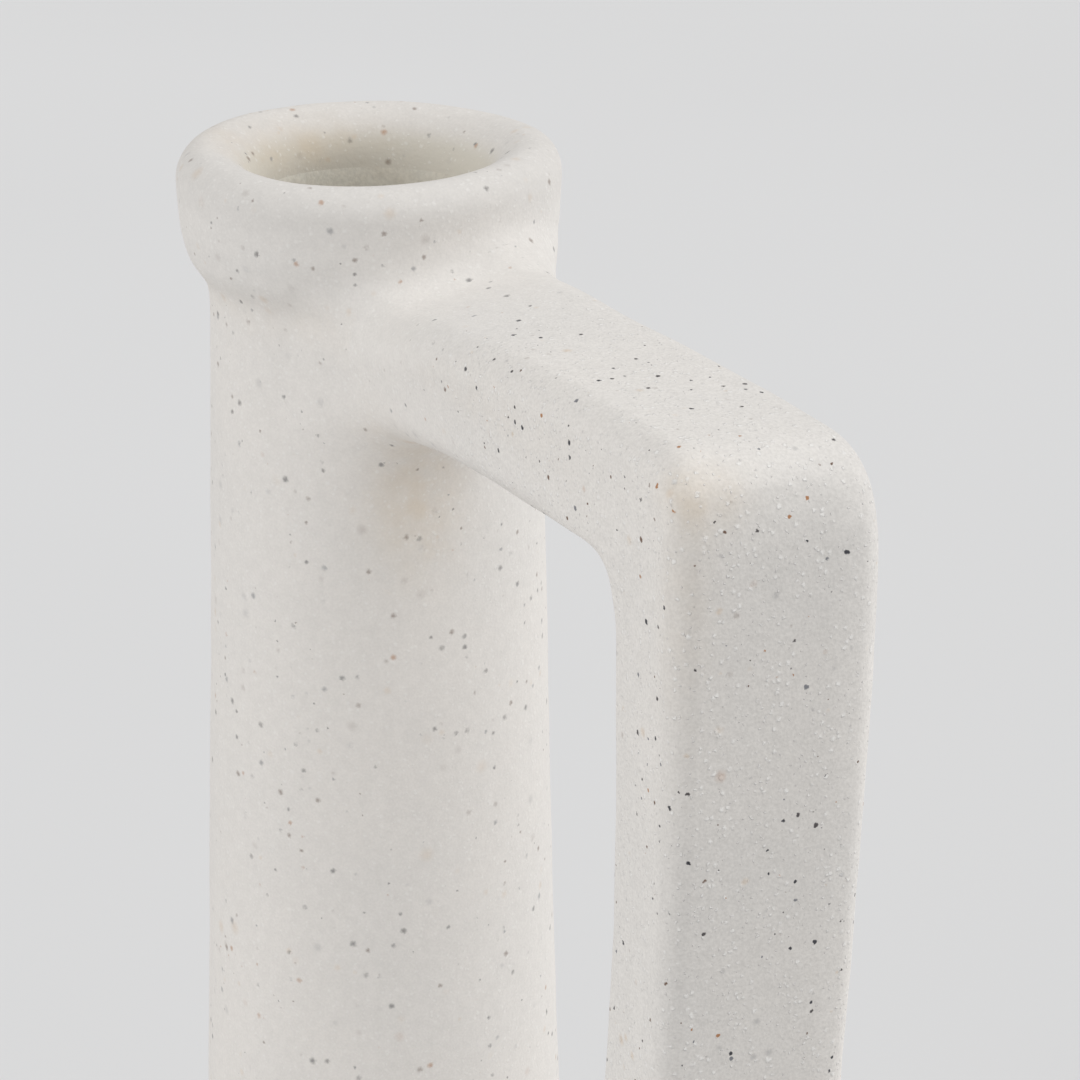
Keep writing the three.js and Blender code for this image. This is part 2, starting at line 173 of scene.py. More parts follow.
def level(value: float) -> Field:
    """A field with one value everywhere.

    Args:
        value: the value.

    Returns:
        The field.
    """

    def everywhere(points: Array) -> Array:
        """The value at every point."""
        return np.full(points.shape[:-1], value)

    return everywhere


def softened(points: Array, spread: float, spacing: float) -> Array:
    """Rounds the corners of an evenly spaced line, as a thumb does, and keeps its ends.

    Args:
        points: line with one point per row.
        spread: width of the rounding.
        spacing: distance between neighbouring points.

    Returns:
        The softened line, with as many points.
    """
    reach = max(1, int(round(3 * spread / spacing)))
    weights = np.exp(-0.5 * (np.arange(-reach, reach + 1) * spacing / spread) ** 2)
    weights /= weights.sum()
    first = 2 * points[0] - points[reach:0:-1]
    last = 2 * points[-1] - points[-2 : -reach - 2 : -1]
    padded = np.concatenate([first, points, last])
    return np.stack([np.convolve(padded[:, k], weights, "valid") for k in range(points.shape[1])], axis=1)


# ---------------------------------------------------------------- the clay's form


@dataclass(frozen=True)
class HandTouch:
    """Slow unevenness that turning and pressing by hand leave all over the clay."""

    seed: int = 11
    wavelengths: tuple[float, ...] = (62 * MM, 47 * MM, 33 * MM, 24 * MM, 17 * MM, 12 * MM, 8 * MM, 5.5 * MM)
    steepness: float = 0.0034
    growth: float = 0.75
    directions_each: int = 3

    def waves(self) -> tuple[Array, Array, Array]:
        """Wave vectors, phases and heights of the unevenness.

        Returns:
            One row or number for each wave.
        """
        draw = np.random.default_rng(self.seed)
        lengths = np.repeat(np.array(self.wavelengths), self.directions_each)
        headings = unit(draw.normal(size=(len(lengths), 3)))
        phases = draw.uniform(0.0, 2 * math.pi, len(lengths))
        heights = self.steepness * lengths**self.growth * MM ** (1 - self.growth)
        heights /= math.sqrt(self.directions_each)
        return headings * (2 * math.pi / lengths)[:, None], phases, heights

    def press(self, points: Array, normals: Array) -> tuple[Array, Array]:
        """Moves points along their normals by the unevenness.

        Args:
            points: points on the true form.
            normals: unit normals there.

        Returns:
            The moved points and the normals of the uneven surface.
        """
        vectors, phases, heights = self.waves()
        angle = points @ vectors.T + phases
        depth = np.sin(angle) @ heights
        slope = squared_off((np.cos(angle) * heights) @ vectors, normals)
        return points + normals * depth[..., None], unit(normals - slope)


@dataclass(frozen=True)
class Outline:
    """Outside of a turned form as a smooth side view, from the floor's rim up over the lip."""

    points: Array
    spacing: float

    @property
    def normals(self) -> Array:
        """Outward (radius, height) normals of the side view."""
        along = unit(np.gradient(self.points, axis=0))
        return np.stack([along[:, 1], -along[:, 0]], axis=1)

    def index_at(self, height: float) -> int:
        """First point, going up, that reaches a height."""
        return int(np.argmax(self.points[:, 1] >= height - 1e-7))

    def stretch(self, start: int, end: int, spacing: float) -> tuple[Array, Array]:
        """Evenly chosen points of the outline between two of its points.

        Args:
            start: index of the first point.
            end: index of the last point.
            spacing: wanted distance between rows.

        Returns:
            (radius, height) points and their normals.
        """
        rows = max(3, int(round((end - start) * self.spacing / spacing)) + 1)
        at, base = np.linspace(start, end, rows), np.arange(len(self.points))
        return looked_up(at, base, self.points), unit(looked_up(at, base, self.normals))

    def distance(self, radius: Array, height: Array, low: float, high: float) -> Array:
        """Signed distance from the outline, negative inside the clay.

        Args:
            radius: distances from the axis.
            height: heights.
            low: lowest height of the outline that matters here.
            high: highest height that matters.

        Returns:
            One distance per point.
        """
        keep = (self.points[:, 1] > low) & (self.points[:, 1] < high)
        line, normals = self.points[keep], self.normals[keep]
        asked = np.stack([radius, height], axis=-1)
        nearest = np.argmin(((asked[:, None, :] - line[None]) ** 2).sum(-1), axis=1)
        nearest = np.clip(nearest, 1, len(line) - 2)
        along = (line[nearest + 1] - line[nearest - 1]) / 2
        shift = np.sum((asked - line[nearest]) * along, -1) / np.sum(along * along, -1)
        shift = np.clip(shift, -1.0, 1.0)[:, None]
        turn = (normals[nearest + 1] - normals[nearest - 1]) / 2
        return np.sum((asked - line[nearest] - shift * along) * unit(normals[nearest] + shift * turn), -1)


@dataclass(frozen=True)
class VaseShape:
    """Sizes of the thrown vase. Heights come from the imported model's boxes."""

    top: float
    crease: float
    neck_foot: float
    widest: float
    floor_top: float
    foot_top: float
    body_radius: float
    floor_radius: float
    rim_radius: float
    neck_top_radius: float = 17.9 * MM
    neck_foot_radius: float = 21.6 * MM
    belly_spread: float = 12 * MM
    belly_rise: float = 22 * MM
    belly_fullness: float = 36 * MM
    shoulder_fullness: float = 28 * MM
    shoulder_reach: float = 24 * MM
    shoulder_fall: float = 21 * MM
    flare_reach: float = 15.4 * MM
    flare_drop: float = 32 * MM
    flare_upright: float = 18 * MM
    collar_radius: float = 20.95 * MM
    collar_taper: float = 6.6 * MM
    collar_belly: float = 0.25 * MM
    collar_foot_inset: float = 1.1 * MM
    collar_foot_rise: float = 0.48
    crease_rise: float = 0.3 * MM
    roll: float = 3.3 * MM
    roll_angles: tuple[float, float] = (-0.1, math.pi / 2 + 0.2)
    roll_steps: int = 40
    lip_width: float = 1.1 * MM
    lip_drop: float = 0.45 * MM
    mouth_round: float = 5.0 * MM
    mouth_lean: tuple[float, float] = (0.2, 0.1)
    mouth_tuck: tuple[float, float] = (0.09, 0.35)
    rim_fall: float = 1.6 * MM
    rim_fall_side: float = math.radians(-50)
    rim_fall_shape: float = 1.6
    crown_radius: float = 18.2 * MM
    rim_height: float = 9 * MM
    bore_radius: float = 12.4 * MM
    bore_depth: float = 8 * MM
    body_wall: float = 6.5 * MM
    neck_wall: float = 5 * MM
    axis_gap: float = 1 * MM
    rim_inset: float = 5 * MM
    softness: float = 0.9 * MM
    spacing: float = 0.1 * MM
    play: float = 0.3 * MM

    @classmethod
    def from_frame(cls) -> "VaseShape":
        """The vase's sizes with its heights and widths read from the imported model.

        Returns:
            The sizes.
        """
        names = ("collar", "neck_wall", "shoulder_wall", "body_wall", "base_slab")
        box = {name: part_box(name) for name in names}
        floor_low, floor_high = box["base_slab"]
        return cls(
            top=box["collar"][1].z - HALF_SLIP,
            crease=box["collar"][0].z - HALF_SLIP,
            neck_foot=box["neck_wall"][0].z - HALF_SLIP,
            widest=box["shoulder_wall"][0].z - HALF_SLIP,
            floor_top=box["body_wall"][0].z - 2 * HALF_SLIP,
            foot_top=floor_low.z,
            body_radius=box["body_wall"][1].x,
            floor_radius=floor_high.x,
            rim_radius=floor_high.x - cls.rim_inset,
        )

    def outline(self) -> Outline:
        """Side view of the whole outside, from the floor's rim over the lip and into the bore.

        Returns:
            The smoothed outline.
        """
        widest_radius = self.body_radius - self.play
        rim = np.array([
            [self.axis_gap, self.foot_top],
            [self.rim_radius, self.foot_top],
            [self.floor_radius, self.floor_top],
        ])
        belly = curve(
            rim[2],
            (self.floor_radius + self.belly_spread, self.floor_top + self.belly_rise),
            (widest_radius, self.widest - self.belly_fullness),
            (widest_radius, self.widest),
        )
        slope_end = (self.neck_foot_radius + self.flare_reach, self.neck_foot - self.flare_drop)
        shoulder = curve(
            (widest_radius, self.widest),
            (widest_radius, self.widest + self.shoulder_fullness),
            (slope_end[0] + self.shoulder_reach, slope_end[1] - self.shoulder_fall),
            slope_end,
        )
        half_flare = self.flare_reach / 2
        flare = curve(
            slope_end,
            (slope_end[0] - half_flare, slope_end[1] + half_flare * self.shoulder_fall / self.shoulder_reach),
            (self.neck_foot_radius + self.play, self.neck_foot - self.flare_upright),
            (self.neck_foot_radius, self.neck_foot),
        )
        neck = np.array([[self.neck_top_radius, self.crease + self.crease_rise]])
        line = np.concatenate([rim[:2], belly, shoulder[1:], flare[1:], neck, self.collar_line()])
        soft = softened(respaced(line, self.spacing), self.softness, self.spacing)
        lost = self.top - soft[:, 1].max()
        soft[:, 1] += lost * eased((soft[:, 1] - self.crease) / (self.top - self.crease))
        return Outline(soft, self.spacing)

    def collar_line(self) -> Array:
        """Side view of the collar from its lower edge over the roll and the lip to the bore.

        Returns:
            (radius, height) points.
        """
        wall = self.collar_radius
        angles = np.linspace(*self.roll_angles, self.roll_steps)
        centre = np.array([wall - self.roll, self.top - self.roll])
        roll = centre + self.roll * np.stack([np.cos(angles), np.sin(angles)], axis=1)
        lip = np.array([roll[-1, 0] - self.lip_width, self.top - self.lip_drop])
        mouth_end = np.array([self.bore_radius, lip[1]])
        mouth = curve(
            lip,
            lip - self.mouth_round * np.array(self.mouth_lean),
            mouth_end + self.mouth_round * np.array([self.mouth_tuck[0], -self.mouth_tuck[1]]),
            mouth_end - np.array([0, self.mouth_round]),
            self.roll_steps,
        )
        low = [
            (wall - self.collar_foot_inset, self.crease + self.collar_taper * self.collar_foot_rise),
            (wall - self.collar_belly, self.crease + self.collar_taper),
        ]
        end = [(self.bore_radius, self.top - self.bore_depth)]
        return np.concatenate([low, roll, mouth, end])


@dataclass(frozen=True)
class StrapShape:
    """Sizes and path of the strap handle, arm, elbow and upright in one."""

    top: float
    reach: float
    landing_x: float
    landing_z: float
    width: float = 19.6 * MM
    arm_root: float = 15.0 * MM
    arm_end: float = 13.6 * MM
    arch: float = 0.4 * MM
    root_drop: float = 0.8 * MM
    root_edge: float = 5.0 * MM
    root_spread: float = 1.0 * MM
    roll: float = math.radians(13)
    near: float = 20 * MM
    drop_to: float = 36 * MM
    spread_to: float = 46 * MM
    edge_to: float = 52 * MM
    roll_to: float = 60 * MM
    upright: float = 14.3 * MM
    arm_edge: float = 3.4 * MM
    upright_edge: float = 2.3 * MM
    elbow_outer: float = 6.2 * MM
    elbow_inner: float = 4.2 * MM
    lean: float = 3.3 * MM
    tuck: float = 2.1 * MM
    turn: float = math.radians(-6.4)
    start: float = 12.5 * MM
    root: float = 14 * MM
    overrun: float = 16 * MM
    fan_arm: float = 0.55
    fan_upright: float = 0.25
    spacing: float = 0.25 * MM
    softness: float = 1.3 * MM
    arm_steps: int = 260
    elbow_steps: int = 60
    upright_steps: int = 640
    short_of_elbow: int = 40
    past_elbow: int = 120
    probe: float = 0.3 * MM
    corner_steps: int = 13
    broad_steps: int = 32
    narrow_steps: int = 24

    def rise_at(self, x: Array) -> Array:
        """How far the arm arches above its ends at distances from the axis."""
        share = (x - self.start) / (self.reach - self.elbow_outer - self.start)
        return self.arch * 4 * share * (1 - share) - self.root_drop * self.rooted_at(x, self.drop_to)

    def rooted_at(self, x: Array, clear: float) -> Array:
        """One where the arm is set on by hand, down to nought where it is clear of that."""
        return 1 - eased((x - self.near) / (clear - self.near))

    def edge_at(self, x: Array) -> Array:
        """Rounding of the arm's edges at distances from the axis."""
        return self.arm_edge + (self.root_edge - self.arm_edge) * self.rooted_at(x, self.edge_to)

    def half_width_at(self, x: Array) -> Array:
        """Half of the strap's width at distances from the axis."""
        return self.width / 2 + self.root_spread * self.rooted_at(x, self.spread_to)

    def roll_at(self, x: Array) -> Array:
        """How far the arm is rolled up on its far side at distances from the axis."""
        return self.roll * self.rooted_at(x, self.roll_to)

    def reach_at(self, height: Array) -> Array:
        """Distance of the upright's outer face from the axis at heights.

        Args:
            height: heights on the upright.

        Returns:
            One distance for each height.
        """
        share = (self.top - height) / (self.top - self.landing_z)
        left = 1 - share
        return (
            self.reach * left**3
            + 3 * (self.reach + self.lean) * left**2 * share
            + 3 * (self.reach - self.tuck) * left * share**2
            + self.landing_x * share**3
        )

    def stations(self) -> Array:
        """Rows of outer x, outer z, inner x, inner z, turn, edge radius and roll along the whole strap.

        Returns:
            Evenly spaced, softened rows.
        """
        rows = np.concatenate([self.arm_rows(), self.elbow_rows(), self.upright_rows()])
        run = run_along((rows[:, 0:2] + rows[:, 2:4]) / 2)
        even = looked_up(np.arange(0.0, run[-1], self.spacing), run, rows)
        return softened(even, self.softness, self.spacing)

    def arm_rows(self) -> Array:
        """Station rows of the arm, whose inner side runs out ahead of the outer one towards the elbow.

        Returns:
            Station rows.
        """
        outer_end, inner_end = self.reach - self.elbow_outer, self.reach - self.upright - self.elbow_inner
        share = np.linspace(0, 1, self.arm_steps)[:, None]
        thick = self.arm_root + (self.arm_end - self.arm_root) * share
        outer_x = self.start + (outer_end - self.start) * share
        inner_x = outer_x - (outer_end - inner_end) * eased((share - self.fan_arm) / (1 - self.fan_arm))
        return np.hstack([
            outer_x, self.top + self.rise_at(outer_x),
            inner_x, self.top + self.rise_at(inner_x) - thick,
            0 * share, self.edge_at(outer_x), self.roll_at(outer_x),
        ])

    def elbow_rows(self) -> Array:
        """Station rows round the elbow.

        Returns:
            Station rows.
        """
        outer_end, inner_end = self.reach - self.elbow_outer, self.reach - self.upright - self.elbow_inner
        share = np.linspace(0, 1, self.elbow_steps)[1:, None]
        angle = (1 - share) * math.pi / 2
        inner_top = self.top - self.arm_end
        return np.hstack([
            outer_end + self.elbow_outer * np.cos(angle), self.top - self.elbow_outer * (1 - np.sin(angle)),
            inner_end + self.elbow_inner * np.cos(angle), inner_top - self.elbow_inner * (1 - np.sin(angle)),
            self.turn * share, self.arm_edge + (self.upright_edge - self.arm_edge) * share, 0 * share,
        ])

    def upright_rows(self) -> Array:
        """Station rows of the upright, down into the shoulder.

        Returns:
            Station rows.
        """
        share = np.linspace(0, 1, self.upright_steps)[1:, None]
        start, inner_start = self.top - self.elbow_outer, self.top - self.arm_end - self.elbow_inner
        outer_z = start + (self.landing_z - self.overrun - start) * share
        inner_z = outer_z - (start - inner_start) * (1 - eased(share / self.fan_upright))
        return np.hstack([
            self.reach_at(outer_z), outer_z, self.reach_at(inner_z) - self.upright, inner_z,
            self.turn + 0 * share, self.upright_edge + 0 * share, 0 * share,
        ])


class Strap:
    """The strap handle as a smooth surface that can be asked for points, normals and distances."""

    def __init__(self, shape: StrapShape) -> None:
        """Works out the stations of the strap from its sizes.

        Args:
            shape: sizes and path of the strap.
        """
        self.shape = shape
        self.table = shape.stations()
        self.length = (len(self.table) - 1) * shape.spacing
        self.elbow = self.run_at_corner()

    def run_at_corner(self) -> float:
        """Distance along the strap to the mitre, where it has turned half way down."""
        across = unit(self.table[:, 0:2] - self.table[:, 2:4])
        return float(np.argmax(across[:, 0] > across[:, 1])) * self.shape.spacing

    def section(self) -> Array:
        """Rows of (corner along, corner across, cosine, sine) for the points round the strap.

        Returns:
            One row for each point round the strap.
        """
        rows: list[tuple[float, float, float, float]] = []
        corners = ((1, 1), (-1, 1), (-1, -1), (1, -1))
        sides = (self.shape.narrow_steps, self.shape.broad_steps) * 2
        for number, (up, side) in enumerate(corners):
            angles = (number + np.linspace(0, 1, self.shape.corner_steps)) * math.pi / 2
            rows += [(up, side, math.cos(a), math.sin(a)) for a in angles]
            following = corners[(number + 1) % 4]
            for share in np.linspace(0, 1, sides[number] + 1)[1:-1]:
                mixed = [a + (b - a) * share for a, b in zip((up, side), following)]
                rows.append((*mixed, math.cos(angles[-1]), math.sin(angles[-1])))
        return np.array(rows)

    def read(self, run: Array) -> tuple[Array, Array, Array, Array, Array]:
        """Outer and inner line, turn, edge radius and roll at distances along the strap."""
        value = looked_up(run, np.arange(len(self.table)) * self.shape.spacing, self.table)
        return value[..., 0:2], value[..., 2:4], value[..., 4], value[..., 5], value[..., 6]

    def point(self, run: Array) -> Array:
        """Points of the strap's surface.

        Args:
            run: distance along the strap for each point of each ring, rings by columns.

        Returns:
            Points, rings by columns by three.
        """
        outer, inner, turn, edge, roll = self.read(run)
        middle, across = (outer + inner) / 2, unit(outer - inner)
        half = np.linalg.norm(outer - inner, axis=-1) / 2
        up, side, cosine, sine = self.section().T
        rise = up * (half - edge) + edge * cosine
        wide = side * (self.shape.half_width_at(middle[..., 0]) - edge) + edge * sine
        offset = self.swung(across, turn, *self.rolled(rise, wide, roll))
        return offset + np.stack([middle[..., 0], 0 * turn, middle[..., 1]], axis=-1)

    def surface(self, run: Array) -> tuple[Array, Array]:
        """Points and outward normals of the strap's surface at distances along it.

        Args:
            run: distance along the strap for each point of each ring.

        Returns:
            Points and unit normals, rings by columns by three.
        """
        outer, inner, turn, _, roll = self.read(run)
        _, _, cosine, sine = self.section().T
        facing = self.swung(unit(outer - inner), turn, *self.rolled(cosine, sine, roll))
        heading = unit(self.point(run + self.shape.probe) - self.point(run - self.shape.probe))
        return self.point(run), unit(squared_off(facing, heading))

    @staticmethod
    def swung(across: Array, turn: Array, rise: Array, wide: Array) -> Array:
        """Offsets up and across the strap as (x, y, z), after its turn.

        Args:
            across: unit (x, z) direction from the inner face to the outer one.
            turn: the strap's turn about the upright.
            rise: offsets towards the outer face.
            wide: offsets across the strap.

        Returns:
            The offsets in space.
        """
        x = across[..., 0] * rise
        y = x * np.sin(turn) + wide * np.cos(turn)
        return np.stack([x * np.cos(turn) - wide * np.sin(turn), y, across[..., 1] * rise], axis=-1)

    @staticmethod
    def rolled(rise: Array, wide: Array, roll: Array) -> tuple[Array, Array]:
        """Offsets up and across the strap after the arm's roll."""
        return rise * np.cos(roll) + wide * np.sin(roll), wide * np.cos(roll) - rise * np.sin(roll)

    def arm_distance(self, points: Array) -> Array:
        """Signed distance from the arm, for points near its straight run.

        Args:
            points: where to measure.

        Returns:
            One distance for each point, negative inside.
        """
        shape, x = self.shape, points[:, 0]
        arm = self.table[: int(self.elbow / shape.spacing) - shape.short_of_elbow]
        top, low = np.interp(x, arm[:, 0], arm[:, 1]), np.interp(x, arm[:, 2], arm[:, 3])
        rise, wide = self.rolled(points[:, 2] - (top + low) / 2, points[:, 1], -shape.roll_at(x))
        away = self.rounded(rise, wide, (top - low) / 2, shape.half_width_at(x), shape.edge_at(x))
        behind = np.maximum(shape.root - x, 0)
        return np.where(behind > 0, np.hypot(behind, np.maximum(away, 0)) + np.minimum(away, 0), away)

    def upright_distance(self, points: Array) -> Array:
        """Signed distance from the upright, for points near its foot.

        Args:
            points: where to measure.

        Returns:
            One distance for each point, negative inside.
        """
        shape, z = self.shape, points[:, 2]
        lower = self.table[int(self.elbow / shape.spacing) + shape.past_elbow :][::-1]
        outer, inner = np.interp(z, lower[:, 1], lower[:, 0]), np.interp(z, lower[:, 3], lower[:, 2])
        rise, wide = self.rolled(points[:, 0] - (outer + inner) / 2, points[:, 1], shape.turn)
        return self.rounded(rise, wide, (outer - inner) / 2, shape.width / 2, shape.upright_edge)

    @staticmethod
    def rounded(rise: Array, wide: Array, half_rise: Array, half_wide: Array | float,
                edge: Array | float) -> Array:
        """Signed distance from a rounded section of the strap.

        Args:
            rise: offsets towards the outer face.
            wide: offsets across the strap.
            half_rise: half of the strap's thickness.
            half_wide: half of its width.
            edge: rounding of its edges.

        Returns:
            One distance for each point.
        """
        over_a = np.abs(rise) - (half_rise - edge)
        over_b = np.abs(wide) - (half_wide - edge)
        outside = np.hypot(np.maximum(over_a, 0), np.maximum(over_b, 0))
        return outside + np.minimum(np.maximum(over_a, over_b), 0) - edge


# ---------------------------------------------------------------- meshes


@dataclass
class RingStack:
    """Closed mesh made of rings of points, one above the other."""

    name: str
    rings: list[Array] = field(default_factory=list)
    normals: list[Array | None] = field(default_factory=list)
    looped: bool = True

    def add(self, rings: Array, normals: Array | None = None) -> None:
        """Adds rings, with the normals that show, or none where they are hidden in a joint.

        Args:
            rings: rings of points.
            normals: normals of the skin, or none in a joint.
        """
        for number, ring in enumerate(rings):
            self.rings.append(ring)
            self.normals.append(None if normals is None else normals[number])

    def faces(self) -> tuple[list[tuple[int, ...]], list[bool]]:
        """Faces of the stack, and for each whether it is skin that shows.

        Returns:
            The faces, and one mark for each.
        """
        count, columns = len(self.rings), len(self.rings[0])
        faces: list[tuple[int, ...]] = []
        shown: list[bool] = []
        for lower in range(count if self.looped else count - 1):
            upper = (lower + 1) % count
            skin = self.normals[lower] is not None and self.normals[upper] is not None
            for i in range(columns):
                j = (i + 1) % columns
                low, high = lower * columns, upper * columns
                faces.append((low + i, low + j, high + j, high + i))
                shown.append(skin and not (self.looped and upper == 0))
        if not self.looped:
            first, last = count * columns, count * columns + 1
            for i in range(columns):
                j = (i + 1) % columns
                faces.append((first, j, i))
                faces.append((last, (count - 1) * columns + i, (count - 1) * columns + j))
                shown += [False, False]
        return faces, shown

    @staticmethod
    def volume(points: Array, faces: list[tuple[int, ...]]) -> float:
        """Volume that the faces close in, negative where they are inside out.

        Args:
            points: corner points.
            faces: indices of each face's corners.

        Returns:
            The signed volume.
        """
        total = 0.0
        for size in (3, 4):
            corners = points[np.array([face for face in faces if len(face) == size], int).reshape(-1, size)]
            for k in range(1, size - 1):
                total += np.einsum("ij,ij->", corners[:, 0], np.cross(corners[:, k], corners[:, k + 1])) / 6
        return total

    def build(self, material: bpy.types.Material, clay: "Clay") -> bpy.types.Object:
        """Makes the object, with the skin's own normals and the tints, greying and painted shade as
        attributes.

        Args:
            material: finish of the piece.
            clay: gives how strongly the tints, the greying and the painted shade mark the clay at points.

        Returns:
            The new object, linked to the scene.
        """
        points = np.concatenate(self.rings)
        if not self.looped:
            points = np.concatenate([points, [self.rings[0].mean(0)], [self.rings[-1].mean(0)]])
        faces, shown = self.faces()
        if self.volume(points, faces) < 0:
            faces = [face[::-1] for face in faces]
        mesh = bpy.data.meshes.new(self.name)
        mesh.from_pydata(points.tolist(), [], faces)
        mesh.polygons.foreach_set("use_smooth", [True] * len(faces))
        mesh.update()
        given = np.concatenate([r * 0 if n is None else n for r, n in zip(self.rings, self.normals)])
        corner_vertex = np.zeros(len(mesh.loops), int)
        mesh.loops.foreach_get("vertex_index", corner_vertex)
        face_normal = np.zeros(len(faces) * 3)
        mesh.polygons.foreach_get("normal", face_normal)
        sizes = np.array([len(f) for f in faces])
        flat = np.repeat(face_normal.reshape(-1, 3), sizes, axis=0)
        use = np.repeat(np.array(shown), sizes)
        normals = flat.copy()
        normals[use] = given[corner_vertex[use]]
        mesh.normals_split_custom_set(normals.tolist())
        for mark in Mark:
            attribute = mesh.attributes.new(mark.value, "FLOAT", "POINT")
            attribute.data.foreach_set("value", clay.strength(mark, points).astype(np.float32))
        mesh.materials.append(material)
        piece = bpy.data.objects.new(self.name, mesh)
        bpy.context.scene.collection.objects.link(piece)
        return piece


# ---------------------------------------------------------------- finishes


class NodeSheet:
    """A material's nodes, added one after another, in millimetres of the object's own space."""

    def __init__(self, name: str) -> None:
        """Starts a new material with a principled shader and nothing else.

        Args:
            name: name of the material.
        """
        self.material = bpy.data.materials.new(name)
        self.material.use_nodes = True
        self.tree = self.material.node_tree
        self.tree.nodes.clear()
        self.shader = self.add("ShaderNodeBsdfPrincipled")
        output = self.add("ShaderNodeOutputMaterial")
        self.tree.links.new(self.shader.outputs["BSDF"], output.inputs["Surface"])
        coordinates = self.add("ShaderNodeTexCoord")
        scaled = self.add("ShaderNodeVectorMath", operation="SCALE")
        scaled.inputs["Scale"].default_value = 1 / MM
        self.tree.links.new(coordinates.outputs["Object"], scaled.inputs[0])
        self.place = scaled.outputs[0]

    def finish(self, colour: object, roughness: object, shine: float,
               height: object = None) -> bpy.types.Material:
        """Sets what the shader shows.

        Args:
            colour: base colour.
            roughness: how matte it is.
            shine: strength of the surface's reflection.
            height: relief in millimetres, or none for a flat surface.

        Returns:
            The finished material.
        """
        self.put(self.shader.inputs["Base Color"], colour)
        self.put(self.shader.inputs["Roughness"], roughness)
        self.put(self.shader.inputs["Specular IOR Level"], shine)
        if height is not None:
            self.bump(height)
        return self.material

    def add(self, kind: str, **settings: object) -> bpy.types.Node:
        """A new node with its settings.

        Args:
            kind: type of node.
            **settings: properties to set on it.

        Returns:
            The node.
        """
        node = self.tree.nodes.new(kind)
        for name, value in settings.items():
            setattr(node, name, value)
        return node

    def put(self, socket: bpy.types.NodeSocket, value: object) -> None:
        """Links a socket to another, or sets its value.

        Args:
            socket: input to fill.
            value: another socket, a number or a colour.
        """
        if isinstance(value, bpy.types.NodeSocket):
            self.tree.links.new(value, socket)
        elif isinstance(value, tuple) and len(value) == 3 and socket.type == "RGBA":
            socket.default_value = (*value, 1.0)
        else:
            socket.default_value = value

    def math(self, operation: str, first: object, second: object = 0.0) -> bpy.types.NodeSocket:
        """Result of one sum on two numbers.

        Args:
            operation: kind of sum.
            first: first number or socket.
            second: second number or socket.

        Returns:
            The result's socket.
        """
        node = self.add("ShaderNodeMath", operation=operation)
        self.put(node.inputs[0], first)
        self.put(node.inputs[1], second)
        return node.outputs[0]

    def span(self, value: object, low: object, high: object, to_low: object = 0.0,
             to_high: object = 1.0, smooth: bool = True) -> bpy.types.NodeSocket:
        """A number taken from one range to another, held at both ends.

        Args:
            value: number or socket to take over.
            low: start of its range.
            high: end of its range.
            to_low: what the start becomes.
            to_high: what the end becomes.
            smooth: whether it eases at both ends.

        Returns:
            The result's socket.
        """
        node = self.add("ShaderNodeMapRange", interpolation_type="SMOOTHSTEP" if smooth else "LINEAR")
        for socket, given in zip(node.inputs, (value, low, high, to_low, to_high)):
            self.put(socket, given)
        return node.outputs[0]

    def noise(self, size: float, detail: float = 2.0, place: object = None) -> bpy.types.Node:
        """Cloudy pattern whose lumps are about `size` millimetres wide.

        Args:
            size: width of a lump.
            detail: number of finer layers.
            place: where to look it up, if not at the object's own place.

        Returns:
            The noise node.
        """
        node = self.add("ShaderNodeTexNoise")
        self.put(node.inputs["Vector"], place or self.place)
        self.put(node.inputs["Scale"], 1 / size)
        self.put(node.inputs["Detail"], detail)
        return node

    def moved(self, place: object, offset: tuple[float, float, float]) -> bpy.types.NodeSocket:
        """A place moved by an offset in millimetres.

        Args:
            place: place to move.
            offset: how far, along each axis.

        Returns:
            The moved place.
        """
        node = self.add("ShaderNodeVectorMath", operation="ADD")
        self.put(node.inputs[0], place)
        node.inputs[1].default_value = offset
        return node.outputs[0]

    def warped(self, size: float, amount: float) -> bpy.types.NodeSocket:
        """The place pushed about by noise, which makes round grains irregular.

        Args:
            size: width of the noise's lumps in millimetres.
            amount: how far it pushes, in millimetres.

        Returns:
            The warped place.
        """
        noise = self.noise(size, 1.0)
        centred = self.add("ShaderNodeVectorMath", operation="SUBTRACT")
        self.put(centred.inputs[0], noise.outputs["Color"])
        centred.inputs[1].default_value = (0.5, 0.5, 0.5)
        scaled = self.add("ShaderNodeVectorMath", operation="SCALE")
        self.put(scaled.inputs[0], centred.outputs[0])
        scaled.inputs["Scale"].default_value = amount
        total = self.add("ShaderNodeVectorMath", operation="ADD")
        self.put(total.inputs[0], self.place)
        self.put(total.inputs[1], scaled.outputs[0])
        return total.outputs[0]

    def mix(self, factor: object, first: object, second: object, blend: str = "MIX") -> bpy.types.NodeSocket:
        """Two colours mixed by a factor.

        Args:
            factor: how much of the second shows.
            first: first colour.
            second: second colour.
            blend: way of mixing.

        Returns:
            The mixed colour.
        """
        node = self.add("ShaderNodeMix", data_type="RGBA", blend_type=blend)
        self.put(node.inputs["Factor"], factor)
        self.put(node.inputs[6], first)
        self.put(node.inputs[7], second)
        return node.outputs[2]

    def cloudy(self, first: Colour, second: Colour, size: float, detail: float,
               high: float = 0.65) -> bpy.types.NodeSocket:
        """Two colours that drift into each other in clouds `size` millimetres wide."""
        return self.mix(self.span(self.noise(size, detail).outputs[0], 0.35, high), first, second)

    def shaded(self, base: object, pattern: object, low: float, high: float) -> bpy.types.NodeSocket:
        """A colour made darker and lighter by a pattern, from `low` to `high` times itself."""
        return self.mix(1.0, base, self.span(pattern, 0.3, 0.7, low, high), "MULTIPLY")

    def speckled(self, base: object, grains: "Grains",
                 place: object) -> tuple[bpy.types.NodeSocket, bpy.types.NodeSocket]:
        """A colour with grains laid over it, and the grains' mask."""
        mask, colour = grains.lay(self, place)
        return self.mix(mask, base, colour), mask

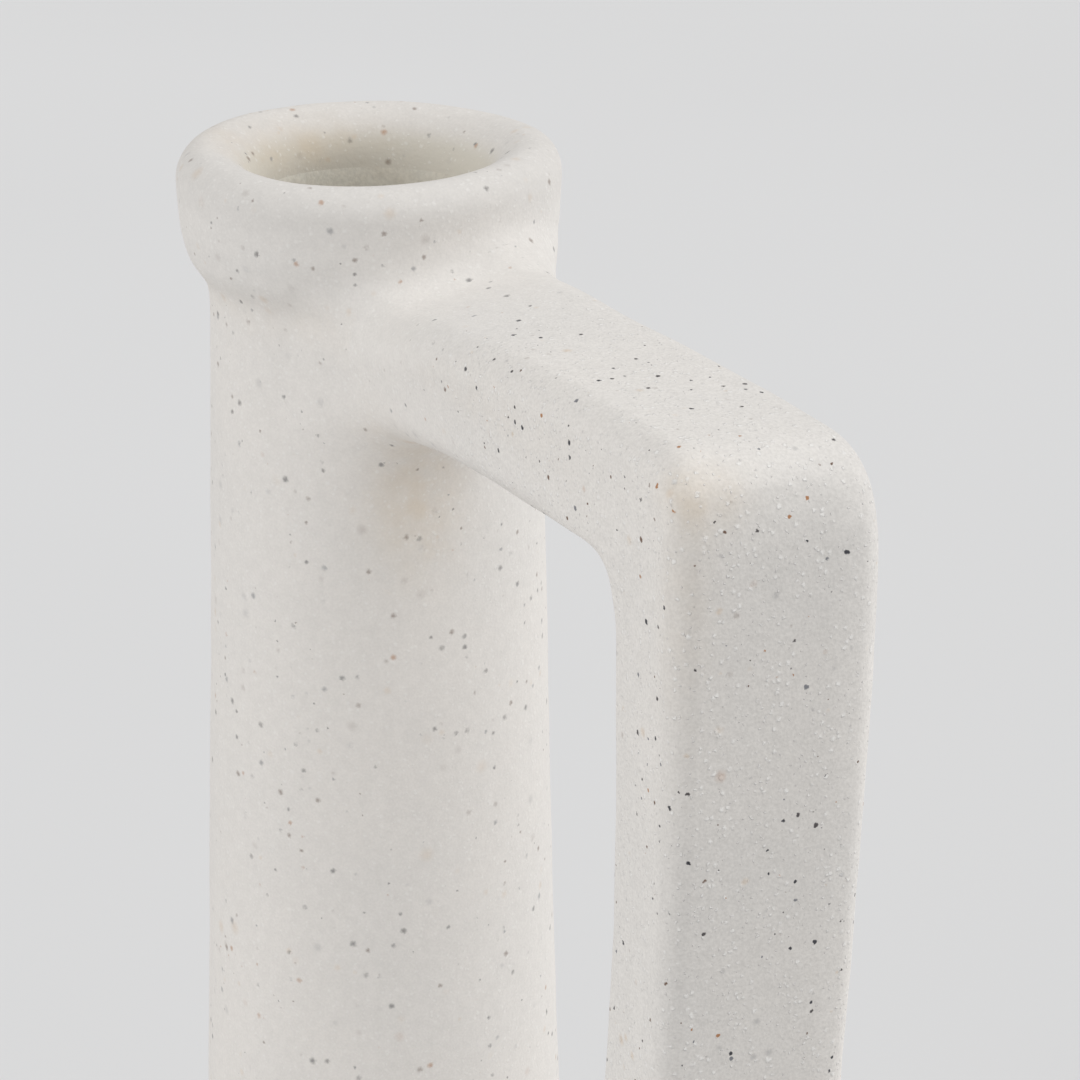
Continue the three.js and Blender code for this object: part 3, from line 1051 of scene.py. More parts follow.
    def bump(self, height: object) -> None:
        """Raises the surface by a height in millimetres.

        Args:
            height: relief in millimetres.
        """
        node = self.add("ShaderNodeBump")
        node.inputs["Strength"].default_value = 1.0
        node.inputs["Distance"].default_value = MM
        self.put(node.inputs["Height"], height)
        self.put(self.shader.inputs["Normal"], node.outputs[0])

    def ramp(self, value: object, stops: Sequence[tuple[float, Colour]]) -> bpy.types.NodeSocket:
        """Colour chosen by a number from a row of stops that don't run into each other.

        Args:
            value: number that chooses.
            stops: where each colour starts, and the colour.

        Returns:
            The chosen colour.
        """
        node = self.add("ShaderNodeValToRGB")
        node.color_ramp.interpolation = "CONSTANT"
        elements = node.color_ramp.elements
        while len(elements) < len(stops):
            elements.new(0.5)
        for element, (position, colour) in zip(elements, stops):
            element.position = position
            element.color = (*colour, 1.0)
        self.put(node.inputs[0], value)
        return node.outputs["Color"]


@dataclass(frozen=True)
class Grains:
    """One kind of grain in the clay: how often it shows, how large it is and how it looks."""

    cell: float
    small: float
    large: float
    share: float
    strength: float
    softness: float
    colours: tuple[tuple[float, Colour], ...]
    offset: tuple[float, float, float]
    rarity: float = 2.0
    outer_blur: float = 0.4
    veiled: float = 0.5
    veiled_size: float = 1.7
    veiled_share: float = 0.45

    def lay(self, sheet: NodeSheet, place: object,
            clear: object = 1.0) -> tuple[bpy.types.NodeSocket, bpy.types.NodeSocket]:
        """Adds the grains to a sheet and gives their mask and colour.

        Args:
            sheet: the material's nodes.
            place: where to look the pattern up.
            clear: how clearly they show, from nought, blurred by slip, to one.

        Returns:
            How strongly a grain shows, and its colour.
        """
        cells = sheet.add("ShaderNodeTexVoronoi")
        sheet.put(cells.inputs["Vector"], sheet.moved(place, self.offset))
        sheet.put(cells.inputs["Scale"], 1 / self.cell)
        parts = sheet.add("ShaderNodeSeparateColor")
        sheet.put(parts.inputs[0], cells.outputs["Color"])
        draw = sheet.math("POWER", parts.outputs[0], self.rarity)
        size = sheet.span(draw, 0.0, 1.0, self.small / self.cell, self.large / self.cell, smooth=False)
        size = sheet.math("MULTIPLY", size, self.cleared(sheet, clear, self.veiled_size, 1.0))
        filled = sheet.math("DIVIDE", cells.outputs["Distance"], size)
        soft = self.cleared(sheet, clear, 1.0, self.softness)
        inner = sheet.math("SUBTRACT", 1.0, soft)
        outer = sheet.math("ADD", 1.0, sheet.math("MULTIPLY", soft, self.outer_blur))
        edge = sheet.span(filled, inner, outer, 1.0, 0.0)
        share = self.cleared(sheet, clear, self.share * self.veiled_share, self.share)
        present = sheet.math("LESS_THAN", parts.outputs[1], share)
        mask = sheet.math("MULTIPLY", edge, present)
        return sheet.math("MULTIPLY", mask, self.strength), sheet.ramp(parts.outputs[2], self.colours)

    def cleared(self, sheet: NodeSheet, clear: object, under: float,
                open_value: float) -> bpy.types.NodeSocket:
        """A value that goes from one under the slip to another on open clay."""
        return sheet.span(clear, self.veiled, 1.0, under, open_value, smooth=False)


INK: Colour = (0.020, 0.022, 0.034)
CHARCOAL: Colour = (0.060, 0.052, 0.055)
UMBER: Colour = (0.150, 0.085, 0.055)
SLATE: Colour = (0.200, 0.205, 0.225)
RUST: Colour = (0.420, 0.190, 0.075)
OCHRE: Colour = (0.600, 0.400, 0.210)
KHAKI: Colour = (0.710, 0.675, 0.598)
CHALK: Colour = (0.90, 0.885, 0.86)


@dataclass(frozen=True)
class Stoneware:
    """Matte off-white stoneware: sandy grain, iron specks, chalky granules, warm flashing and painted shade.
    """

    name: str = "speckled_stoneware"
    clay: Colour = (0.793, 0.763, 0.727)
    cool: Colour = (0.770, 0.745, 0.714)
    # tan is the colour of flame flashing, and also of painted shade in the mouth, in the crease and on the
    # arm's side.
    tan: Colour = (0.690, 0.560, 0.400)
    roughness: float = 0.88
    # Colour left at full strength of the painted shade and the rim's greying.
    darkest_shade_and_grey: float = 0.91
    # Khaki share at full strength inside the mouth: the liner's colour, made stronger as painted shade.
    washed_and_shaded: float = 0.9
    veil: float = 0.38
    calm: float = 0.5
    veil_from: float = 22.0
    veil_to: float = 52.0
    calm_chalk: float = 0.45
    shine: float = 0.2
    cloud_size: float = 26.0
    mottle_size: float = 1.3
    sand_size: float = 0.30
    peel_size: float = 0.55
    patch_size: float = 3.1
    roughness_spread: float = 0.05
    peel_height: float = 0.070
    sand_height: float = 0.035
    chalk_height: float = 0.105
    iron: Grains = Grains(
        cell=1.30, small=0.07, large=0.29, share=0.62, strength=0.93, softness=0.3, offset=(0.0, 0.0, 0.0),
        colours=((0.0, INK), (0.28, CHARCOAL), (0.52, UMBER), (0.74, SLATE), (0.90, RUST)),
    )
    haze: Grains = Grains(
        cell=1.9, small=0.14, large=0.42, share=0.5, strength=0.30, softness=0.8, offset=(31.0, 17.0, 5.0),
        colours=((0.0, SLATE), (0.45, UMBER), (0.7, OCHRE)),
    )
    rust: Grains = Grains(
        cell=3.4, small=0.2, large=0.62, share=0.30, strength=0.34, softness=0.9, offset=(7.0, 41.0, 13.0),
        colours=((0.0, OCHRE), (0.5, RUST), (0.75, OCHRE)),
    )
    chalk: Grains = Grains(
        cell=0.66, small=0.09, large=0.27, share=0.95, strength=0.80, softness=0.8, offset=(3.0, 9.0, 27.0),
        colours=((0.0, CHALK), (0.5, CHALK)),
    )

    def build(self) -> bpy.types.Material:
        """Makes the material.

        Returns:
            The finished material.
        """
        sheet = NodeSheet(self.name)
        mottle, sand, peel = (
            sheet.noise(size, detail).outputs[0]
            for size, detail in ((self.mottle_size, 3.0), (self.sand_size, 2.0), (self.peel_size, 2.0))
        )
        base = sheet.shaded(sheet.cloudy(self.clay, self.cool, self.cloud_size, 3.0), mottle, 0.98, 1.015)
        open_clay = self.unveiled(sheet)
        calm = sheet.span(open_clay, 1 - self.veil, 1.0, self.calm, 1.0)
        base = sheet.mix(calm, base, sheet.shaded(base, sand, 0.95, 1.04))
        base = self.marked_and_shaded(sheet, base)
        place = sheet.warped(0.30, 0.34)
        chalk_mask, chalk_colour = self.chalk.lay(sheet, place)
        chalk_shown = sheet.span(open_clay, 1 - self.veil, 1.0, self.calm_chalk, 1.0)
        chalk_mask = sheet.math("MULTIPLY", chalk_mask, chalk_shown)
        base = sheet.mix(chalk_mask, base, chalk_colour)
        for grains in (self.rust, self.haze, self.iron):
            mask, colour = grains.lay(sheet, place, open_clay)
            base = sheet.mix(sheet.math("MULTIPLY", mask, open_clay), base, colour)
        spread = self.roughness_spread
        roughness = sheet.span(mottle, 0.3, 0.7, self.roughness - spread, self.roughness + spread)
        height = sheet.math("MULTIPLY", peel, self.peel_height)
        for pattern, rise in ((sand, self.sand_height), (chalk_mask, self.chalk_height)):
            height = sheet.math("ADD", height, sheet.math("MULTIPLY", pattern, rise))
        return sheet.finish(base, roughness, self.shine, sheet.math("MULTIPLY", height, calm))

    def unveiled(self, sheet: NodeSheet) -> bpy.types.NodeSocket:
        """How clearly grains show: fully on the wiped handle, less through the slip on the vase.

        Args:
            sheet: the material's nodes.

        Returns:
            One on open clay, less under the slip.
        """
        parts = sheet.add("ShaderNodeSeparateXYZ")
        sheet.put(parts.inputs[0], sheet.place)
        return sheet.span(parts.outputs[0], self.veil_from, self.veil_to, 1 - self.veil, 1.0)

    def marked_and_shaded(self, sheet: NodeSheet, base: object) -> bpy.types.NodeSocket:
        """The clay's colour with its marks: khaki inside the mouth, tan patches broken up by noise, then
        darkening; the khaki and tan are partly painted shade, the darkening is painted shade and a greyer
        rim.

        Args:
            sheet: the material's nodes.
            base: colour of the clay.

        Returns:
            The marked colour.
        """
        flame_and_shade, shade_and_rim_grey, wash_and_shade = (
            sheet.add("ShaderNodeAttribute", attribute_name=mark.value).outputs["Fac"] for mark in Mark
        )
        # Liner's khaki carried onto the clay inside the mouth, made stronger as painted shade.
        washed_and_shaded = sheet.mix(sheet.math("MULTIPLY", wash_and_shade, self.washed_and_shaded), base, KHAKI)
        patchy = sheet.span(sheet.noise(self.patch_size, 3.0).outputs[0], 0.3, 0.7, 0.55, 1.25)
        # Tan: flame flashing in some patches, painted shade in the mouth, along the crease and on the arm's
        # side.
        warm = sheet.mix(sheet.math("MULTIPLY", flame_and_shade, patchy), washed_and_shaded, self.tan)
        # Darkened by painted shade on the upright and under the far lip, and by a greyer band round the rim.
        return sheet.mix(1.0, warm, sheet.span(shade_and_rim_grey, 0.0, 1.0, 1.0, self.darkest_shade_and_grey), "MULTIPLY")


@dataclass(frozen=True)
class BareClay:
    """Unglazed fired clay of the foot, toasted buff, wiped smooth with grog showing."""

    name: str = "bare_foot_clay"
    buff: Colour = (0.46, 0.345, 0.235)
    toast: Colour = (0.34, 0.225, 0.140)
    roughness: float = 0.93
    shine: float = 0.2
    sand_height: float = 0.07
    grog_height: float = 0.06
    grog: Grains = Grains(
        cell=1.1, small=0.12, large=0.42, share=0.7, strength=0.8, softness=0.5, offset=(11.0, 2.0, 8.0),
        colours=((0.0, (0.62, 0.54, 0.43)), (0.45, (0.20, 0.13, 0.09)), (0.7, (0.55, 0.47, 0.37))),
    )

    def build(self) -> bpy.types.Material:
        """Makes the material.

        Returns:
            The finished material.
        """
        sheet = NodeSheet(self.name)
        sand = sheet.noise(0.4, 3.0).outputs[0]
        base = sheet.shaded(sheet.cloudy(self.buff, self.toast, 14.0, 4.0), sand, 0.85, 1.12)
        base, mask = sheet.speckled(base, self.grog, sheet.warped(0.5, 0.3))
        rise = sheet.math("MULTIPLY", sand, self.sand_height)
        height = sheet.math("ADD", rise, sheet.math("MULTIPLY", mask, self.grog_height))
        return sheet.finish(base, self.roughness, self.shine, height)


@dataclass(frozen=True)
class LinerGlaze:
    """Thin khaki-grey glaze inside, dragged and pitted, with a soft shine."""

    name: str = "khaki_liner_glaze"
    khaki: Colour = (0.730, 0.705, 0.632)
    thin: Colour = (0.685, 0.643, 0.562)
    roughness: float = 0.62
    shine: float = 0.5
    relief: float = 0.05
    pits: Grains = Grains(
        cell=1.6, small=0.1, large=0.34, share=0.6, strength=0.5, softness=0.5, offset=(5.0, 23.0, 2.0),
        colours=((0.0, (0.30, 0.25, 0.18)), (0.6, (0.66, 0.63, 0.56))),
    )

    def build(self) -> bpy.types.Material:
        """Makes the material.

        Returns:
            The finished material.
        """
        sheet = NodeSheet(self.name)
        grit = sheet.noise(0.5, 3.0).outputs[0]
        base = sheet.shaded(sheet.cloudy(self.khaki, self.thin, 5.0, 4.0, high=0.68), grit, 0.93, 1.06)
        base, mask = sheet.speckled(base, self.pits, sheet.warped(0.5, 0.25))
        rise, sunk = (sheet.math("MULTIPLY", pattern, self.relief) for pattern in (grit, mask))
        return sheet.finish(base, self.roughness, self.shine, sheet.math("SUBTRACT", rise, sunk))


# ---------------------------------------------------------------- the clay


@dataclass(frozen=True)
class TanPatch:
    """One soft patch tinted tan, in millimetres from its anchor: flame flashing, except those marked below as
    painted shade.
    """

    anchor: Anchor
    place: tuple[float, float, float]
    spread: tuple[float, float, float]
    strength: float

    def at(self, points: Array, anchor: Array) -> Array:
        """Strength of the patch at points, with its anchor's own place."""
        away = (points - anchor - np.array(self.place) * MM) / (np.array(self.spread) * MM)
        return self.strength * np.exp(-0.5 * (away**2).sum(-1))


# Painted shadow inside the mouth under the far lip.
PAINTED_SHADOW_IN_MOUTH = TanPatch(Anchor.TOP, (-11.5, -4.0, -4.2), (4.2, 7.0, 2.2), 1.35)
TAN_PATCHES = (
    TanPatch(Anchor.ELBOW, (-2.2, 2.3, -2.7), (2.2, 2.3, 1.8), 0.34),
    TanPatch(Anchor.ELBOW, (-1.6, 0.8, -12.0), (1.6, 1.3, 7.0), 0.16),
    # Painted shade: a faint darker band on the arm's near side, below its top edge.
    TanPatch(Anchor.ARM, (46.0, 0.0, -5.0), (13.0, 2.5, 2.2), 0.07),
    TanPatch(Anchor.CREASE, (18.0, -3.5, -19.0), (5.0, 3.2, 5.5), 0.36),
    TanPatch(Anchor.CREASE, (21.0, -6.0, -9.5), (4.0, 3.0, 2.4), 0.16),
    # Painted shade inside the mouth: on its left wall and under the far lip.
    TanPatch(Anchor.TOP, (-6.0, -13.0, -1.5), (5.0, 2.0, 1.6), 0.22),
    TanPatch(Anchor.TOP, (-12.0, -3.0, -3.8), (4.0, 6.0, 1.8), 0.36),
    TanPatch(Anchor.SHOULDER, (0.0, 0.0, 6.0), (14.0, 16.0, 7.0), 0.22),
    TanPatch(Anchor.AXIS, (0.0, 0.0, 16.0), (90.0, 90.0, 7.0), 0.5),
)


@dataclass(frozen=True)
class Ramp:
    """A mark that comes on gently past a line, over a width."""

    start: float
    width: float

    def at(self, distance: Array) -> Array:
        """Nought before the line, up to one past the width."""
        return eased((distance - self.start) / self.width)


class Clay:
    """The vase's whole form, which every piece takes its surface from."""

    collar_shift = (-0.18 * MM, -0.34 * MM, 0.0)
    shift_height = 8 * MM
    lean_probe = 0.02 * MM
    landing_inset = 18 * MM
    arm_under_box = 1.0 * MM
    elbow_inside_box = 1.7 * MM
    blushed_shoulder = 62 * MM
    # Painted shade in the crease under the collar: strength, height and reach of a thin tan band.
    painted_crease_shade = 0.07
    painted_crease_shade_height = 1.6 * MM
    painted_crease_shade_margin = 1 * MM
    mouth_wall = 4.2 * MM
    # Depth inside the mouth over which the liner's khaki comes on, partly painted shade.
    wash_and_shade_depth = Ramp(1.5 * MM, 2.6 * MM)
    # Painted shade on the upright's outer face, from the elbow's bend down, fading out towards its far, lit
    # side.
    upright_shade_outward = Ramp(-5 * MM, 4.5 * MM)
    upright_shade_below = Ramp(0.8 * MM, 3.2 * MM)
    upright_shade_above = Ramp(10 * MM, 40 * MM)
    upright_shade_lit_side = Ramp(2 * MM, 7.5 * MM)
    # A greyer band round the top of the collar, its lip and its mouth.
    rim_grey = Ramp(-9 * MM, 6 * MM)
    rim_grey_reach = 30 * MM
    rim_grey_strength = 0.6

    def __init__(self, vase: VaseShape, touch: HandTouch) -> None:
        """Works out the outline and the strap from the sizes.

        Args:
            vase: sizes of the thrown vase.
            touch: unevenness that the hand leaves.
        """
        self.vase = vase
        self.touch = touch
        self.line = vase.outline()
        landing_x = vase.body_radius - self.landing_inset
        shape = StrapShape(
            top=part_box("handle_arm")[1].z - self.arm_under_box,
            reach=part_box("handle_upright")[1].x - self.elbow_inside_box,
            landing_x=landing_x,
            landing_z=self.height_at(landing_x),
        )
        self.strap = Strap(shape)
        side = -shape.width / 2
        self.anchors = {
            Anchor.AXIS: np.zeros(3),
            Anchor.ARM: np.array([0.0, side, shape.top]),
            Anchor.ELBOW: np.array([shape.reach, side, shape.top]),
            Anchor.CREASE: np.array([0.0, 0.0, vase.crease]),
            Anchor.TOP: np.array([0.0, 0.0, vase.top]),
            Anchor.SHOULDER: np.array([self.blushed_shoulder, 0.0, self.height_at(self.blushed_shoulder)]),
        }

    def height_at(self, radius: float) -> float:
        """Height of the shoulder at a distance from the axis.

        Args:
            radius: distance from the axis.

        Returns:
            The height there.
        """
        start = self.line.index_at(self.vase.widest)
        stop = self.line.index_at(self.vase.neck_foot)
        part = self.line.points[start:stop][::-1]
        return float(np.interp(radius, part[:, 0], part[:, 1]))

    def over_skin(self, start: Array, end: Array, share: Array) -> Array:
        """Points on the vase's skin on the way between points of it.

        Args:
            start: points where the ways begin.
            end: points where they finish.
            share: shares of the way, one a row.

        Returns:
            Points, rows by ways by three.
        """
        angles = [np.arctan2(p[:, 1], p[:, 0]) for p in (start, end)]
        turn = (angles[1] - angles[0] + math.pi) % (2 * math.pi) - math.pi
        angle = angles[0] + turn * share[..., 0]
        height = start[:, 2] + (end[:, 2] - start[:, 2]) * share[..., 0]
        crown = int(np.argmax(self.line.points[:, 1]))
        side = self.line.points[self.line.index_at(self.vase.widest) : crown]
        radius = np.interp(height, side[:, 1], side[:, 0])
        return np.stack([radius * np.cos(angle), radius * np.sin(angle), height], axis=-1)

    def lean(self, points: Array) -> Array:
        """How the hand has set the collar sideways on the neck and pressed its rim lower on one side.

        Args:
            points: points on the true turned form.

        Returns:
            How far each one moves.
        """
        vase = self.vase
        share = eased((points[..., 2:3] - vase.crease + self.shift_height / 2) / self.shift_height)
        moved = share * np.array(self.collar_shift)
        along = points[..., 0] * math.cos(vase.rim_fall_side) + points[..., 1] * math.sin(vase.rim_fall_side)
        share = (1 + np.clip(along / vase.crown_radius, -1, 1)) / 2
        fall = vase.rim_fall * share**vase.rim_fall_shape
        moved[..., 2] -= fall * eased((points[..., 2] - vase.top + vase.rim_height) / vase.rim_height)
        return moved

    def leaned(self, points: Array, normals: Array) -> tuple[Array, Array]:
        """Points moved by the collar's lean, with their normals turned to suit."""
        turn = np.linalg.inv(np.eye(3) + gradient(self.lean, points, self.lean_probe))
        return points + self.lean(points), unit(np.einsum("...ji,...j->...i", turn, normals))

    def strength(self, mark: Mark, points: Array) -> Array:
        """How strongly one of the marks shows at points, from nought to one."""
        measures = {Mark.FLASH: self.flash_and_shade, Mark.SMOKE: self.shade_and_rim_grey, Mark.WASH_AND_SHADE: self.wash_and_shade}
        return np.clip(measures[mark](points), 0.0, 1.0)

    def flash_and_shade(self, points: Array) -> Array:
        """How strongly the clay is tinted tan at points: flame flashing, and painted shade in the mouth,
        along the crease and on the arm's side.

        Args:
            points: where to measure.

        Returns:
            One strength for each point.
        """
        tint = sum(tan_patch.at(points, self.anchors[tan_patch.anchor]) for tan_patch in TAN_PATCHES)
        # Painted shade: a thin tan band in the crease under the collar.
        rise = (points[..., 2] - self.vase.crease) / self.painted_crease_shade_height
        near = np.hypot(points[..., 0], points[..., 1]) < self.vase.collar_radius + self.painted_crease_shade_margin
        return tint + self.painted_crease_shade * np.exp(-0.5 * rise**2) * near

    def wash_and_shade(self, points: Array) -> Array:
        """How strongly the liner's khaki comes on inside the mouth, deeper down, at points: the glaze's
        colour carried onto the clay, made stronger as painted shade.
        """
        inside = np.hypot(points[..., 0], points[..., 1]) < self.vase.collar_radius - self.mouth_wall
        return inside * self.wash_and_shade_depth.at(self.vase.top - points[..., 2])

    def shade_and_rim_grey(self, points: Array) -> Array:
        """Painted shade on the upright's outer face and in the mouth under the far lip, and a greyer band
        round the top of the collar, at points.

        Args:
            points: where to measure.

        Returns:
            One strength for each point.
        """
        shape = self.strap.shape
        x, y, z = points[..., 0], points[..., 1], points[..., 2]
        # Painted shade on the upright's outer face and round the elbow's bend.
        upright = self.upright_shade_outward.at(x - shape.reach) * self.upright_shade_below.at(shape.top - z)
        upright = upright * self.upright_shade_above.at(z - shape.landing_z) * (1 - self.upright_shade_lit_side.at(y))
        # Greyer band round the rim, with the painted shadow under the far lip added.
        rim = self.rim_grey_strength * self.rim_grey.at(z - self.vase.top) * (x < self.rim_grey_reach)
        return np.maximum(upright, rim + PAINTED_SHADOW_IN_MOUTH.at(points, self.anchors[Anchor.TOP]))

    def turned(self, line: Array, normals: Array, columns: int) -> tuple[Array, Array]:
        """Rings of the uneven clay surface for a stretch of side view.

        Args:
            line: (radius, height) points.
            normals: their (radius, height) normals.
            columns: number of points round the axis.

        Returns:
            Points and normals, rings by columns by three.
        """
        angle = np.linspace(0, 2 * math.pi, columns, endpoint=False)
        around = np.stack([np.cos(angle), np.sin(angle), np.ones(columns)], axis=-1)
        spread = (table[:, None, [0, 0, 1]] * around[None] for table in (line, normals))
        return self.touch.press(*self.leaned(*spread))

    def vase_distance(self, points: Array, reach: float = 45 * MM) -> Array:
        """Signed distance from the true turned form, for points within a short height of each other.

        Args:
            points: where to measure.
            reach: height of outline to look through, round the points.

        Returns:
            One distance for each point, negative inside.
        """
        moved = points - self.lean(points)
        radius = np.hypot(moved[:, 0], moved[:, 1])
        low, high = moved[:, 2].min() - reach / 2, moved[:, 2].max() + reach / 2
        return self.line.distance(radius, moved[:, 2], low, high)

    def unevenness(self, points: Array) -> Array:
        """Height of the hand's unevenness at points."""
        vectors, phases, heights = self.touch.waves()
        return np.sin(points @ vectors.T + phases) @ heights


def wall_of(line: Array, normals: Array, wall: float, rows: int) -> Array:
    """Inside of a wall: a few points behind the side view, from its last to its first."""
    pick = np.linspace(0, len(line) - 1, rows).round().astype(int)[::-1]
    return line[pick] - normals[pick] * wall


@dataclass
class ThrownPiece:
    """One turned piece of the vase: a skin that shows and a hidden back inside the clay."""

    clay: Clay
    material: bpy.types.Material
    slot: Slot = Slot.STONEWARE
    columns: int = 176
    row_spacing: float = 1.2 * MM
    slip: float = 0.2 * MM
    looped: bool = True
    ending: str = "_clay"
    node: str = ""

    def side(self) -> tuple[Array, Array, Array]:
        """Skin line, its normals and the hidden line behind it."""
        raise NotImplementedError

    def between(self, low: int, high: int) -> tuple[Array, Array]:
        """Rows of the outline between two of its points."""
        return self.clay.line.stretch(low, high, self.row_spacing)

    def build(self) -> bpy.types.Object:
        """Makes the piece, closed at the axis where its rings aren't looped.

        Returns:
            The new object.
        """
        line, normals, hidden = self.side()
        stack = RingStack(self.node + self.ending, looped=self.looped)
        stack.add(*self.clay.turned(line, normals, self.columns))
        stack.add(self.clay.turned(hidden, hidden * 0, self.columns)[0])
        return stack.build(self.material, self.clay)


@dataclass
class FootRing(ThrownPiece):
    """Turned foot ring with worn edges, standing on its flat face."""

    slot: Slot = Slot.BARE_CLAY
    node: str = "foot_ring"
    radius: float = 50 * MM
    width: float = 10 * MM
    flare: float = 1.2 * MM
    chamfer: float = 1.0 * MM
    worn: float = 0.4 * MM
    sunk: float = 1 * MM
    fine: float = 0.1 * MM
    row_spacing: float = 0.5 * MM

    def side(self) -> tuple[Array, Array, Array]:
        """Skin line, its normals and the hidden line behind it.

        Returns:
            The skin line, its normals and the hidden line, as (radius, height) rows.
        """
        top = self.clay.vase.foot_top
        inside = self.radius - self.width
        corners = np.array([
            [inside, top], [inside, self.chamfer], [inside + self.chamfer, 0.0],
            [self.radius - self.chamfer, 0.0], [self.radius, self.chamfer], [self.radius + self.flare, top],
        ])
        even = Outline(softened(respaced(corners, self.fine), self.worn, self.fine), self.fine)
        line, normals = even.stretch(0, len(even.points) - 1, self.row_spacing)
        back = [[self.radius - self.sunk, top + self.sunk], [inside + self.sunk, top + self.sunk]]
        return line, normals, np.array(back)

    def build(self) -> bpy.types.Object:
        """Makes the piece, kept flat where it stands.

        Returns:
            The new object.
        """
        piece = super().build()
        for vertex in piece.data.vertices:
            vertex.co.z = max(vertex.co.z, 0.0)
        return piece


@dataclass
class BaseSlab(ThrownPiece):
    """Floor of the vase, with its underside and its rim showing."""

    slot: Slot = Slot.BARE_CLAY
    node: str = "base_slab"
    looped: bool = False
    boss: float = 1.7 * MM
    toe: float = 8.4 * MM

    def side(self) -> tuple[Array, Array, Array]:
        """Skin line, its normals and the hidden line behind it.

        Returns:
            The skin line, its normals and the hidden line, as (radius, height) rows.
        """
        vase = self.clay.vase
        line, normals = self.between(0, self.clay.line.index_at(vase.floor_top))
        inner = vase.floor_radius - self.toe
        high = vase.floor_top + self.boss
        return line, normals, np.array([[inner, vase.floor_top], [inner, high], [vase.axis_gap, high]])


@dataclass
class Body(ThrownPiece):
    """Thrown belly of the vase, from the floor to the widest height."""

    node: str = "body_wall"
    lap: float = 5.8 * MM
    toe: float = 8 * MM
    inside_rows: int = 14
    inside_start: int = 4

    def side(self) -> tuple[Array, Array, Array]:
        """Skin line, its normals and the hidden line behind it.

        Returns:
            The skin line, its normals and the hidden line, as (radius, height) rows.
        """
        vase, line = self.clay.vase, self.clay.line
        skin, normals = self.between(line.index_at(vase.floor_top), line.index_at(vase.widest))
        wall = vase.body_wall
        middle, back = skin[-1, 0] - wall / 2, skin[-1, 0] - wall
        high = vase.widest + self.lap
        step = np.array([[middle, vase.widest], [middle, high], [back, high]])
        start = self.inside_start
        inside = wall_of(skin[start:-1], normals[start:-1], wall, self.inside_rows)
        toe = np.array([[skin[0, 0] - self.toe, vase.floor_top]])
        return skin, normals, np.concatenate([step, inside, toe])


@dataclass
class Shoulder(ThrownPiece):
    """Thrown shoulder that closes in and flares up into the neck."""

    node: str = "shoulder_wall"
    lap: float = 5.8 * MM
    inside_rows: int = 24
    clear_below: float = 1 * MM
    clear_above: float = 12 * MM

    def side(self) -> tuple[Array, Array, Array]:
        """Skin line, its normals and the hidden line behind it.

        Returns:
            The skin line, its normals and the hidden line, as (radius, height) rows.
        """
        vase, line = self.clay.vase, self.clay.line
        skin, normals = self.between(line.index_at(vase.widest), line.index_at(vase.neck_foot))
        wall = vase.body_wall
        bore = skin[-1, 0] - vase.neck_wall
        middle = (skin[-1, 0] + bore) / 2
        high = vase.neck_foot + self.lap
        step = np.array([[middle, vase.neck_foot], [middle, high], [bore, high], [bore, vase.neck_foot]])
        inside = wall_of(skin, normals, wall, self.inside_rows)
        low, top = vase.widest + self.lap + self.clear_below, vase.neck_foot - self.clear_above
        inside = inside[(inside[:, 1] > low) & (inside[:, 1] < top)]
        back, seam = skin[0, 0] - wall, vase.widest + self.lap + self.slip
        outer = back + wall / 2 + self.slip
        skirt = np.array([[back, seam], [outer, seam], [outer, vase.widest]])
        return skin, normals, np.concatenate([step, inside, skirt])


@dataclass
class Neck(ThrownPiece):
    """Thrown tapering neck, whose upper end is a spigot inside the collar."""

    node: str = "neck_wall"
    lap: float = 6.0 * MM
    spigot: float = 7.8 * MM
    liner_gap: float = 0.6 * MM
    columns: int = 192
    row_spacing: float = 1.0 * MM

    def side(self) -> tuple[Array, Array, Array]:
        """Skin line, its normals and the hidden line behind it.

        Returns:
            The skin line, its normals and the hidden line, as (radius, height) rows.
        """
        vase, line = self.clay.vase, self.clay.line
        skin, normals = self.between(line.index_at(vase.neck_foot), line.index_at(vase.crease))
        top, bore = vase.crease, vase.bore_radius + self.liner_gap
        outer = bore + vase.neck_wall / 2
        spigot = np.array([[outer, top], [outer, top + self.spigot], [bore, top + self.spigot]])
        foot = skin[0, 0] - vase.neck_wall
        middle, seam = foot + vase.neck_wall / 2 + self.slip, vase.neck_foot + self.lap
        skirt = np.array([[foot, seam], [middle, seam], [middle, vase.neck_foot]])
        return skin, normals, np.concatenate([spigot, skirt])


@dataclass
class Collar(ThrownPiece):
    """Rolled collar with its soft crease, broad lip and mouth."""

    node: str = "collar"
    columns: int = 240
    row_spacing: float = 0.35 * MM
    socket_gap: float = 0.8 * MM

    def side(self) -> tuple[Array, Array, Array]:
        """Skin line, its normals and the hidden line behind it.

        Returns:
            The skin line, its normals and the hidden line, as (radius, height) rows.
        """
        vase, line = self.clay.vase, self.clay.line
        skin, normals = self.between(line.index_at(vase.crease), len(line.points) - 1)
        socket = vase.bore_radius + self.socket_gap + vase.neck_wall / 2
        return skin, normals, np.array([[socket, skin[-1, 1]], [socket, vase.crease + self.slip]])


